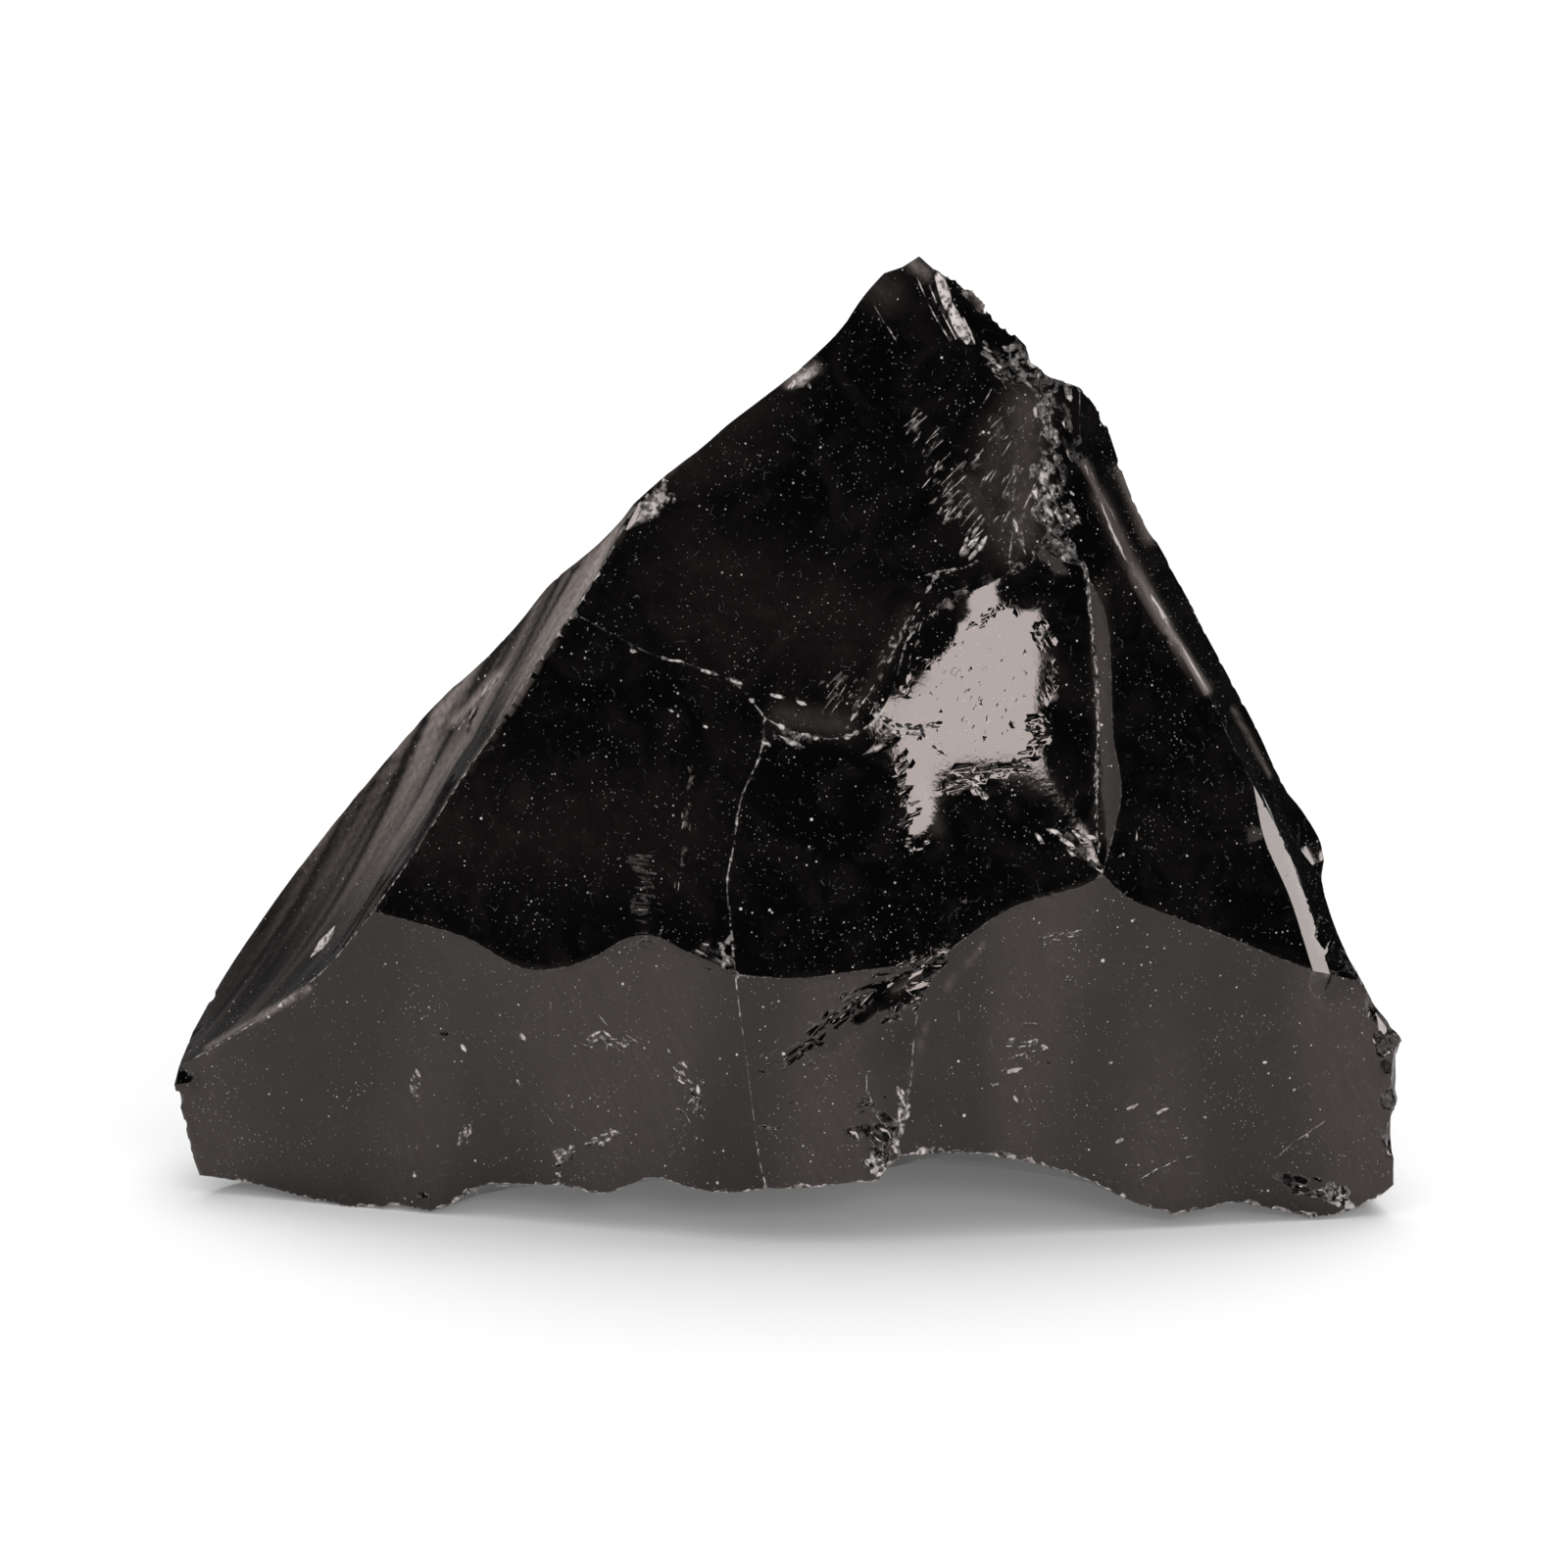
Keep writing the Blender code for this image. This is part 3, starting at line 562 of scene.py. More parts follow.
def torn_cuts(torn, chance):
    runs = list(zip(torn.path, torn.path[1:]))
    sizes = [math.dist(start, end) for start, end in runs]
    lean = torn.lean
    tips, sway = lean if isinstance(lean, tuple) else ((-lean, lean), lean)
    cuts = []
    for _ in range(torn.count):
        (x0, y0), (x1, y1) = chance.choices(runs, sizes)[0]
        share, off = chance.random(), chance.gauss(0, torn.stray) * SQUARES
        run = math.dist((x0, y0), (x1, y1))
        x = x0 + (x1 - x0) * share - (y1 - y0) / run * off
        y = y0 + (y1 - y0) * share + (x1 - x0) / run * off
        place, normal = on_face(x, y)
        right, down = torn.heading or (x1 - x0, y1 - y0)
        way = RIGHT * (right / math.hypot(right, down) + chance.gauss(0, HEADING_DRIFT))
        way -= UP * (down / math.hypot(right, down) + chance.gauss(0, HEADING_DRIFT))
        width = chance.uniform(*torn.widths)
        normal = tilted(normal, chance.uniform(*tips), chance.uniform(-sway, sway))
        frost = chance.uniform(0.5, 1.0) if chance.random() < torn.frosted else 0.0
        cuts.append(cut_at(place, normal, way, (chance.uniform(*torn.lengths) + width) * MM,
                           width * MM, width * torn.depth_share * MM, frost, torn.cornered))
    return cuts


CREST = [(1060, 391), (1065, 437), (1062, 482), (1071, 528)]
LIP_END = [(909, 668), (925, 636), (934, 600), (962, 582), (1003, 569), (1040, 559)]
RIGHT_END = [(1378, 985), (1400, 1009), (1425, 1061), (1432, 1100), (1428, 1150), (1422, 1200)]
# Worn ridges: the path, the step from chip to chip, the chips' least and greatest width, depth
# as a share of the width, and how many are frosted.
WORN_RIDGES = [
    (CREST, 0.4, (0.3, 0.9), 0.3, 0.4),
    ([(650, 660), (690, 674), (722, 685), (750, 697), (773, 726), (802, 747), (839, 754),
      (872, 747), (888, 726)], 1.1, (0.1, 0.35), 0.25, 0.6),
    (LIP_END, 1.0, (0.1, 0.35), 0.25, 0.6),
    ([(782, 755), (762, 805), (750, 850), (745, 897), (741, 920), (749, 968), (753, 1018),
      (755, 1040)], 0.9, (0.08, 0.2), 0.3, 0.8),
    ([(640, 560), (580, 633), (536, 700), (511, 749), (477, 802), (407, 894), (376, 933),
      (313, 1008), (206, 1071)], 1.3, (0.12, 0.4), 0.25, 0.5),
    ([(180, 1205), (260, 1217), (340, 1224), (430, 1235), (480, 1214), (545, 1208),
      (620, 1212), (700, 1213), (780, 1213), (850, 1208), (900, 1199), (918, 1178)], 0.8,
     (0.15, 0.9), 0.28, 0.5),
    ([(918, 1178), (1000, 1181), (1060, 1178), (1110, 1190), (1150, 1205), (1206, 1236),
      (1300, 1238), (1350, 1238), (1420, 1214)], 0.7, (0.15, 0.9), 0.28, 0.5),
    (RIGHT_END, 1.7, (1.5, 2.8), 0.3, 0.0), (RIGHT_END, 0.8, (0.2, 0.7), 0.3, 0.2),
    ([(960, 284), (1000, 300), (1010, 329), (1030, 350), (1050, 365), (1060, 391),
      (1100, 395), (1125, 430)], 0.7, (0.3, 1.3), 0.26, 0.15),
    ([(955, 975), (1000, 935), (1060, 895), (1118, 870), (1180, 895), (1240, 930),
      (1300, 965)], 2.4, (0.08, 0.25), 0.3, 0.5),
    ([(1286, 821), (1315, 880), (1334, 940), (1350, 990)], 0.9, (0.1, 0.35), 0.3, 0.0),
    ([(1147, 470), (1175, 520), (1230, 620), (1290, 730), (1345, 850), (1360, 930)], 1.6,
     (0.2, 0.9), 0.2, 0.1),
    ([(200, 1085), (185, 1110), (195, 1150), (200, 1195)], 1.2, (0.2, 0.8), 0.25, 0.1),
]

# Marks on the faces: the ends, the width, how frosted, and for some how far the hollow turns to
# face up, in degrees, and whether it is cornered.
STROKES = [
    # The streaks that run out from the crushed ridge.
    (922, 436, 941, 421, 0.08, 0.8), (930, 438, 943, 427, 0.06, 0.7),
    (942, 454, 957, 443, 0.07, 0.8), (948, 462, 962, 450, 0.06, 0.6),
    (958, 474, 970, 462, 0.07, 0.6), (959, 496, 984, 471, 0.08, 0.8),
    (961, 509, 986, 485, 0.08, 0.8), (963, 516, 979, 500, 0.07, 0.7),
    (967, 528, 989, 502, 0.09, 0.8), (973, 531, 990, 509, 0.07, 0.7),
    (962, 535, 972, 516, 0.07, 0.7), (981, 537, 996, 517, 0.09, 0.8),
    (986, 545, 1001, 525, 0.09, 0.8), (991, 549, 1003, 529, 0.07, 0.8),
    (985, 562, 996, 550, 0.40, 1.0), (998, 562, 1004, 550, 0.35, 0.9),
    (1021, 508, 1035, 481, 0.07, 0.6), (1033, 531, 1037, 542, 0.28, 1.0),
    (1040, 528, 1056, 493, 0.08, 0.8), (1029, 576, 1031, 545, 0.07, 0.8),
    (1010, 437, 1023, 426, 0.06, 0.6), (1005, 373, 1011, 371, 0.09, 0.8),
    (1013, 383, 1020, 388, 0.07, 0.7), (1021, 389, 1027, 399, 0.06, 0.7),
    (1029, 393, 1037, 401, 0.06, 0.7), (1043, 560, 1046, 568, 0.09, 0.7),
    (1051, 561, 1055, 569, 0.10, 0.8), (962, 582, 981, 581, 0.09, 0.9),
    (981, 581, 1003, 570, 0.09, 0.8), (942, 588, 961, 583, 0.07, 0.6),
    (1084, 545, 1098, 559, 0.09, 0.7), (876, 722, 890, 704, 0.06, 0.5),
    (843, 714, 862, 688, 0.06, 0.5), (848, 728, 858, 714, 0.06, 0.5),
    (888, 728, 896, 714, 0.06, 0.6),
    # The flutes under the peak.
    (892, 313, 904, 333, 0.08, 0.7), (905, 334, 917, 353, 0.09, 0.9),
    (934, 281, 945, 306, 0.13, 1.5), (945, 307, 957, 330, 0.12, 1.2),
    (958, 331, 970, 350, 0.13, 1.4), (947, 290, 957, 314, 0.14, 1.6),
    (958, 315, 976, 348, 0.14, 1.6), (957, 283, 968, 314, 0.75, 1.0),
    (969, 314, 986, 347, 0.75, 1.1), (982, 325, 994, 350, 0.16, 0.8),
    # The chips below the scoop's lip.
    (645, 664, 648, 665, 0.26, 1.0), (679, 673, 699, 676, 0.16, 1.0),
    (717, 684, 727, 687, 0.26, 1.0), (746, 693, 757, 698, 0.30, 1.0),
    (787, 709, 800, 712, 0.28, 1.0), (814, 716, 821, 719, 0.26, 1.0),
    (719, 741, 722, 742, 0.18, 0.9), (684, 725, 687, 726, 0.16, 0.8),
    (798, 752, 820, 764, 0.40, 1.0, 0, True), (777, 757, 785, 760, 0.20, 0.9),
    # The row of chips beside the long ridge.
    (1056, 851, 1062, 858, 0.28, 1.0), (1068, 846, 1080, 850, 0.28, 1.0),
    (1082, 856, 1093, 862, 0.34, 1.0), (1094, 848, 1102, 855, 0.22, 0.9),
    (1103, 852, 1117, 855, 0.26, 1.0), (1089, 868, 1094, 872, 0.20, 0.9),
    (1159, 848, 1158, 858, 0.13, 0.9),
    # Splinters beside the end of the lip, on the scoop's rim and at the top of the flank.
    (884, 768, 907, 757, 0.6, 1.0, 0, True), (896, 744, 912, 750, 0.35, 1.0, 0, True),
    (319, 965, 341, 956, 1.2, 1.3, 0, True), (808, 396, 834, 376, 1.1, 0.9, 0, True),
    (652, 530, 680, 503, 1.6, 1.0, 0, True),
    # Bruises on the left apron.
    (452, 1055, 455, 1056, 0.35, 0.0, 45), (472, 1067, 474, 1071, 0.34, 1.0),
    (424, 1092, 427, 1098, 0.26, 0.7), (419, 1107, 421, 1119, 0.22, 0.5),
    (532, 1055, 535, 1060, 0.30, 0.9), (528, 1102, 530, 1106, 0.16, 0.9),
    (601, 1058, 612, 1052, 0.24, 0.9), (606, 1062, 617, 1056, 0.22, 0.8),
    (616, 1052, 623, 1056, 0.20, 0.8), (612, 1036, 622, 1047, 0.10, 0.7),
    (618, 1072, 622, 1060, 0.08, 0.6), (640, 1056, 653, 1063, 0.14, 0.9),
    (682, 1070, 684, 1073, 0.16, 0.9), (688, 1088, 691, 1092, 0.18, 1.0),
    (697, 1084, 701, 1088, 0.18, 1.0), (693, 1101, 698, 1104, 0.20, 1.0),
    (702, 1101, 707, 1104, 0.20, 1.0), (689, 1094, 690, 1102, 0.10, 0.7),
    (712, 1106, 713, 1115, 0.26, 1.0), (702, 1124, 711, 1117, 0.16, 0.9),
    (690, 1130, 699, 1133, 0.15, 0.9), (699, 1133, 705, 1146, 0.14, 0.9),
    (716, 1136, 719, 1141, 0.10, 0.6), (622, 1152, 633, 1156, 0.20, 0.9),
    (568, 1197, 571, 1199, 0.20, 0.8), (540, 1122, 556, 1134, 0.05, 0.4),
    (556, 1134, 566, 1148, 0.05, 0.4), (572, 1140, 600, 1158, 0.05, 0.4),
    (696, 1169, 699, 1172, 0.14, 0.9), (429, 1221, 433, 1223, 0.50, 0.0, 40),
    # Marks on the middle apron, and the black chips over its foot.
    (776, 1092, 779, 1093, 0.22, 0.0, 45), (776, 1146, 786, 1151, 0.16, 0.0, 45),
    (784, 1151, 796, 1149, 0.14, 0.0, 45), (785, 1152, 789, 1158, 0.12, 0.0, 45),
    (896, 1110, 912, 1127, 0.16, 0.0, 45), (884, 1092, 890, 1091, 0.10, 0.8),
    (884, 1096, 884, 1112, 0.09, 0.8), (886, 1112, 892, 1134, 0.10, 0.9),
    (892, 1134, 900, 1145, 0.10, 0.8), (915, 1108, 922, 1126, 0.30, 0.8),
    (917, 1130, 918, 1146, 0.16, 0.9), (911, 1168, 914, 1174, 0.26, 0.8),
    (890, 1140, 900, 1160, 0.07, 0.9), (896, 1135, 908, 1155, 0.07, 0.9),
    (843, 1044, 838, 1052, 0.14, 0.0, 45),
    # Marks on the right apron.
    (1064, 956, 1080, 951, 0.12, 0.8), (1082, 950, 1102, 955, 0.14, 0.6),
    (976, 1028, 979, 1043, 0.09, 0.8), (1040, 1042, 1058, 1044, 0.08, 0.7),
    (1063, 1066, 1067, 1068, 0.26, 0.8), (1046, 1073, 1048, 1082, 0.10, 0.8),
    (1028, 1092, 1040, 1090, 0.34, 0.6), (1013, 1106, 1017, 1105, 0.20, 0.8),
    (1034, 1118, 1037, 1122, 0.24, 0.7), (1068, 1083, 1071, 1084, 0.18, 0.0, 40),
    (1132, 1083, 1133, 1084, 0.22, 1.0), (1150, 1131, 1159, 1127, 0.26, 0.8),
    (1181, 1135, 1191, 1131, 0.28, 0.8), (1139, 1165, 1145, 1162, 0.30, 0.9),
    (1290, 1083, 1291, 1084, 0.22, 1.0), (1209, 1160, 1210, 1161, 0.16, 0.9),
    (1160, 1204, 1182, 1192, 0.13, 0.9), (1182, 1192, 1204, 1182, 0.12, 0.9),
    (1205, 1182, 1218, 1179, 0.10, 0.6), (1334, 1158, 1335, 1160, 0.20, 1.0),
    (1304, 1180, 1322, 1164, 0.05, 0.7), (1322, 1164, 1358, 1141, 0.05, 0.7),
    (1422, 1094, 1424, 1096, 0.26, 1.0),
]

# Broad clear hollows: the ends, the width and depth, and how far they turn up and to the right.
STEPS = [
    # The flake beside the end of the lip.
    (885, 768, 911, 756, 0.7, 0.03, 0.5, 1.8),
]

# The narrow glassy band along the right-hand ridge: the ends and width of each part.
BAND = [
    (1104, 465, 1134, 532, 0.8), (1130, 524, 1168, 606, 1.3), (1162, 594, 1200, 660, 1.1),
    (1194, 648, 1234, 712, 0.6),
]

TORN = [
    # The brush of dark shards over the middle apron, and the cells beside it.
    Torn([(948, 975), (905, 1002), (868, 1022), (832, 1056), (800, 1084)], 0.28, 62, (0.4, 2.2),
         (0.12, 0.55), ((9, 17), 6), 0.0, 0.12),
    Torn([(950, 985), (915, 1000), (885, 1014)], 0.45, 26, (1.0, 2.6), (0.5, 1.1), ((10, 15), 5),
         0.0, 0.08),
    Torn([(934, 1020), (900, 1042)], 0.25, 9, (0.3, 0.8), (0.35, 0.6), ((14, 20), 6), 0.0, 0.14,
         None, True),
    Torn([(840, 1066), (775, 1092)], 0.8, 16, (0.1, 0.5), (0.06, 0.16), ((12, 20), 6)),
    # The bricks of clear black glass over its foot, with bright splinters at their right.
    Torn([(912, 1150), (890, 1160), (872, 1162)], 0.55, 13, (0.5, 1.2), (0.5, 0.9), ((16, 30), 10),
         0.0, 0.16, (1, 1.3), True),
    Torn([(900, 1176), (880, 1186)], 0.3, 6, (0.4, 1.0), (0.4, 0.8), ((16, 30), 10), 0.0, 0.16,
         (1, 0.8), True),
    Torn([(889, 1119), (874, 1132)], 0.25, 8, (0.3, 1.0), (0.12, 0.25), ((16, 24), 8), 0.0, 0.2,
         (1, -0.4)),
    Torn([(916, 1112), (923, 1130), (917, 1160), (906, 1186), (880, 1203)], 0.15, 26, (0.2, 0.8),
         (0.1, 0.35), 20, 0.7, 0.25, None, True),
    # Torn edges round the bulb's bright spot, and the crack that runs into it.
    Torn([(950, 812), (990, 792), (1050, 778), (1062, 735)], 0.32, 46, (0.2, 1.2), (0.1, 0.4), 5,
         0.0, 0.05, (1, -0.15)),
    Torn([(1062, 735), (1068, 670), (1055, 632), (1020, 618)], 0.22, 26, (0.2, 1.0), (0.1, 0.35),
         5, 0.0, 0.05, (0.4, 1)),
    Torn([(928, 850), (922, 800), (920, 762)], 0.2, 22, (0.3, 1.4), (0.1, 0.3), 5, 0.0, 0.05,
         (-1, 0.6)),
    Torn([(1020, 618), (975, 656), (935, 682), (922, 712)], 0.2, 20, (0.2, 0.9), (0.1, 0.3),
         ((-6, 2), 5), 0.0, 0.05),
    Torn([(940, 720), (1000, 690), (1040, 740), (980, 760)], 1.3, 46, (0.05, 0.5), (0.04, 0.1), 20,
         0.0, 0.2, (-0.5, 1)),
    Torn([(896, 732), (915, 741), (938, 742), (965, 738)], 0.09, 26, (0.15, 0.6), (0.1, 0.3),
         ((-40, -15), 20), 0.1, 0.3, None, True),
    Torn([(940, 744), (948, 758), (958, 768)], 0.08, 10, (0.1, 0.4), (0.1, 0.26), ((-40, -15), 20),
         0.1, 0.3, None, True),
    Torn([(898, 744), (920, 750), (942, 750)], 0.08, 10, (0.2, 0.6), (0.16, 0.34), ((-10, 20), 10),
         1.0, 0.2, None, True),
    Torn([(925, 862), (950, 858)], 0.2, 9, (0.1, 0.5), (0.06, 0.16), 10, 1.0),
    Torn([(990, 797), (1004, 812)], 0.2, 9, (0.2, 0.7), (0.2, 0.5), 5, 0.8, 0.1, None, True),
    # The sharp shoulder of the bulb, worn to a bright line.
    Torn([(1106, 575), (1112, 640), (1119, 700), (1119, 740), (1117, 800), (1119, 868)], 0.05, 110,
         (0.1, 0.9), (0.05, 0.17), 15, 0.9, 0.25),
    # Hackles that fan out from the crushed ridge.
    Torn([(925, 425), (955, 480), (975, 530)], 0.55, 34, (0.3, 1.6), (0.04, 0.1), 10, 0.7, 0.2,
         (-1, 1.15)),
    Torn([(1005, 400), (1020, 470), (1022, 545)], 1.1, 38, (0.4, 2.4), (0.04, 0.09), 10, 0.55, 0.2,
         (-0.7, 1)),
    Torn([(1040, 470), (1046, 560)], 0.6, 22, (0.4, 1.8), (0.04, 0.1), 10, 0.6, 0.2, (-0.25, 1)),
    Torn([(985, 560), (1000, 545)], 0.25, 8, (0.3, 1.0), (0.12, 0.3), 10, 0.8, 0.2, (-0.8, 1)),
    Torn([(935, 622), (905, 672), (885, 712)], 0.35, 18, (0.3, 1.3), (0.04, 0.09), 10, 0.5, 0.2,
         (-0.7, 1)),
    Torn([(830, 700), (880, 720)], 0.7, 16, (0.3, 1.6), (0.04, 0.09), 10, 0.5, 0.2, (-0.7, 1)),
    # The double lip at the scoop's lower right.
    Torn([(909, 668), (925, 636), (934, 618), (952, 592), (972, 582)], 0.05, 16, (0.5, 1.5),
         (0.05, 0.12), 10, 0.8),
    Torn([(920, 700), (940, 640), (970, 606), (1010, 590), (1046, 572)], 0.08, 16, (0.5, 1.6),
         (0.04, 0.1), 10, 0.5),
    # The crushed ridge.
    Torn([(1070, 385), (1078, 450), (1078, 540)], 0.7, 54, (0.1, 0.9), (0.2, 0.7), 30, 0.2, 0.22,
         (0.3, 1), True),
    Torn([(1064, 400), (1068, 470), (1072, 545)], 0.22, 30, (0.1, 0.6), (0.12, 0.35), 20, 0.9,
         0.25, (0.4, 1), True),
    Torn([(1085, 500), (1092, 545)], 0.35, 14, (0.1, 0.5), (0.1, 0.35), 20, 0.8, 0.25, (1, 0.6),
         True),
    Torn([(1000, 350), (1030, 378), (1055, 392)], 0.4, 26, (0.1, 0.8), (0.1, 0.5), 25, 0.25, 0.22,
         (1, 0.7), True),
    Torn([(985, 290), (1004, 318)], 0.3, 14, (0.2, 0.9), (0.2, 0.6), 25, 0.3, 0.2, (0.7, 1), True),
    Torn([(506, 692), (470, 738)], 0.35, 8, (0.8, 1.8), (0.1, 0.3), 10, 0.9, 0.2, (-1, 1)),
    Torn([(1068, 548), (1090, 566)], 0.3, 9, (0.3, 1.0), (0.3, 0.7), ((-30, 10), 20), 0.2, 0.2,
         None, True),
    Torn([(1088, 848), (1119, 884)], 0.15, 9, (0.3, 0.8), (0.3, 0.6), ((-30, -10), 20), 0.2, 0.2,
         None, True),
    # Splinters on the scoop's rim, on the left ridge and beside the flank's top.
    Torn([(806, 384), (830, 384)], 0.3, 9, (0.4, 1.2), (0.15, 0.5), 10, 0.9, 0.15, (0.5, 1), True),
    Torn([(684, 505), (670, 520)], 0.2, 6, (0.2, 0.4), (0.15, 0.3), 20, 0.0, 0.3, (-1, 1), True),
    Torn([(655, 871), (657, 940), (658, 966)], 0.1, 30, (1.0, 2.0), (0.05, 0.14), 4, 0.12, 0.2,
         (1, 0.12)),
    Torn([(704, 780), (700, 858), (688, 922), (675, 951)], 0.15, 16, (0.3, 1.2), (0.05, 0.1), 8,
         0.3),
    Torn([(720, 965), (748, 985)], 0.5, 16, (0.3, 1.2), (0.05, 0.16), 8, 0.4, 0.2, (1, 0.35)),
    # Clusters of bruises on the aprons.
    Torn([(478, 1150), (468, 1168)], 0.25, 14, (0.1, 0.6), (0.06, 0.3), 20, 0.8, 0.2, None, True),
    Torn([(566, 1178), (588, 1168)], 0.3, 16, (0.1, 0.6), (0.08, 0.4), 20, 0.9, 0.2, None, True),
    Torn([(598, 1166), (634, 1152)], 0.2, 16, (0.1, 0.6), (0.08, 0.35), 20, 0.9, 0.2, None, True),
    Torn([(598, 1060), (650, 1062)], 0.35, 16, (0.1, 0.9), (0.05, 0.22), 20, 0.8, 0.2, (1, 0.3)),
    Torn([(690, 1085), (714, 1118), (698, 1140)], 0.3, 26, (0.1, 0.7), (0.05, 0.2), 20, 0.8),
    Torn([(418, 1100), (424, 1118)], 0.2, 8, (0.1, 0.5), (0.05, 0.18), 20, 0.6),
    Torn([(1028, 1070), (1060, 1064), (1052, 1086)], 0.4, 16, (0.1, 0.6), (0.05, 0.2), 20, 0.7),
    Torn([(1064, 956), (1102, 950)], 0.15, 14, (0.2, 0.8), (0.05, 0.16), 10, 0.6),
    # The rough right end, and chips along the foot.
    Torn([(1408, 1030), (1424, 1100), (1416, 1190)], 0.25, 16, (0.4, 1.2), (0.5, 1.2),
         ((0, 30), 30), 0.0, 0.2, (0.3, 1), True),
    Torn([(1305, 1210), (1372, 1222)], 0.35, 16, (0.4, 1.2), (0.3, 0.8), ((12, 28), 12), 0.0, 0.14,
         (1, 0.3), True),
]

CHANCE_SEED = 11
chance = random.Random(CHANCE_SEED)
cuts = [step_cut(*step) for step in STEPS]
cuts += [band_cut(*part) for part in BAND]
cuts += [stroke_cut(*stroke) for stroke in STROKES]
for torn in TORN:
    cuts += torn_cuts(torn, chance)
for worn in WORN_RIDGES:
    cuts += ridge_chips(*worn, chance)
cuts += far_chips(FAR_COUNT, FAR_WIDTHS, FAR_DEPTH, chance)
take_off(stone, cuts)
stone_mesh = stone.data

# ------------------------------------------------
# The glass: black all through and mirror-smooth where it broke clean. Ridges have a hair-thin
# bright edge of wear and painted highlight, shattered spots are frosted, and fine dust and hair
# scratches lie over all of it. The milky streaks carry painted highlights and painted reflections
# too.
# ------------------------------------------------
RIDGE_SAMPLE = 0.06 * MM
KEEN_ANGLE = math.radians(24)


def mark_keen_edges(mesh, angle):
    """Keeps the marked ridges sharp, and the rims of the chips too."""
    making = bmesh.new()
    making.from_mesh(mesh)
    for edge in making.edges:
        if edge.smooth and len(edge.link_faces) == 2 and edge.calc_face_angle(0) > angle:
            edge.smooth = False
    for face in making.faces:
        face.smooth = True
    making.to_mesh(mesh)
    making.free()


def gap_to_ridge(mesh):
    """How far each point of the mesh is from the nearest ridge or rim of a chip, in mm."""
    places = np.array([vertex.co for vertex in mesh.vertices])
    rims = np.array([edge.vertices[:] for edge in mesh.edges if edge.use_edge_sharp])
    starts = np.concatenate([points[edges[sharp, 0]], places[rims[:, 0]]])
    ends = np.concatenate([points[edges[sharp, 1]], places[rims[:, 1]]])
    samples = []
    for start, end in zip(starts, ends):
        count = max(1, int(np.linalg.norm(end - start) / RIDGE_SAMPLE))
        samples += [start + (end - start) * part / count for part in range(count)]
    tree = KDTree(len(samples))
    for number, place in enumerate(samples):
        tree.insert(place, number)
    tree.balance()
    return np.array([tree.find(place)[2] for place in places]) / MM


# Milky streaks and painted light: thin and cracked places, where light gets into the glass and it
# looks milky, and painted highlights and painted reflections laid the same way. The ends of each
# streak, its half width, and how strong it is.
MILK_AND_PAINTED_LIGHT_STREAKS = [
    (1046, 415, 1040, 545, 1.2, 0.055), (1020, 440, 1010, 500, 1.0, 0.03),
    (990, 500, 1030, 560, 1.0, 0.03), (720, 600, 850, 640, 4.0, 0.007),
    (690, 470, 780, 380, 2.5, 0.010), (860, 740, 800, 730, 0.8, 0.03),
    (925, 625, 880, 715, 0.6, 0.012), (912, 1008, 935, 995, 0.3, 0.04),
    (450, 850, 690, 850, 4.0, 0.006), (890, 290, 905, 300, 1.2, 0.025),
    # Painted reflection: the grey band along the right-hand ridge.
    (1106, 473, 1121, 507, 0.2, 0.12), (1121, 507, 1156, 580, 0.38, 0.09),
    (1156, 580, 1190, 640, 0.34, 0.18), (1190, 640, 1231, 704, 0.22, 0.3),
    (1144, 480, 1172, 548, 0.40, 0.14), (1258, 723, 1296, 791, 0.14, 0.1),
    (1121, 600, 1126, 850, 0.5, 0.015),
    # Painted highlights: the light line along the left ridge, and light streaks on the left flank.
    (206, 1071, 262, 1038, 0.14, 0.2), (262, 1038, 313, 1008, 0.16, 0.25),
    (630, 540, 600, 590, 0.25, 0.12), (508, 688, 462, 737, 0.25, 0.3),
    (805, 392, 832, 376, 0.3, 0.2),
    (925, 264, 944, 280, 0.35, 0.16), (989, 288, 1004, 312, 0.35, 0.16),
    (955, 845, 940, 800, 0.5, 0.03), (1003, 961, 965, 1007, 0.14, 0.05),
    (944, 1045, 930, 1095, 0.12, 0.05),
]
# Painted reflection of the floor on front faces that turn down: how strong, the turn over which it
# comes in, and the soft bands it lies in.
APRON_PAINTED_REFLECTION = 0.022
APRON_TURN = (-0.10, 0.0)
APRON_BANDS = (-0.35, 0.45)
# The left flank's milky tone with painted sheen: how strong, the share kept at the foot, and the
# heights in mm over which it grows lighter upwards.
FLANK_MILK_AND_SHEEN = 0.24
FLANK_FOOT_SHARE = 0.16
FLANK_CLEARS = (14, 38)
# Milky streaks and painted sheen on the left flank: length, width, the noise's shift, and how
# strong.
MILK_AND_SHEEN_STREAKS = [(11.0, 0.55, 0.0, 1.1), (18.0, 1.9, 9, 1.6)]
STREAK_RANGE = (0.02, 1.6)
SEEN_AHEAD = (-0.4, -0.1)


def smooth_step(value, low, high):
    share = np.clip((value - low) / (high - low), 0, 1)
    return share * share * (3 - 2 * share)


def gap_to_run(across, up, start, end):
    """How far points of the board are from a straight run between two squares, in mm."""
    (across0, up0), (across1, up1) = place_of(*start), place_of(*end)
    way = np.array([across1 - across0, up1 - up0])
    share = ((across - across0) * way[0] + (up - up0) * way[1]) / (way @ way)
    share = np.clip(share, 0, 1)
    return np.hypot(across - across0 - share * way[0], up - up0 - share * way[1])


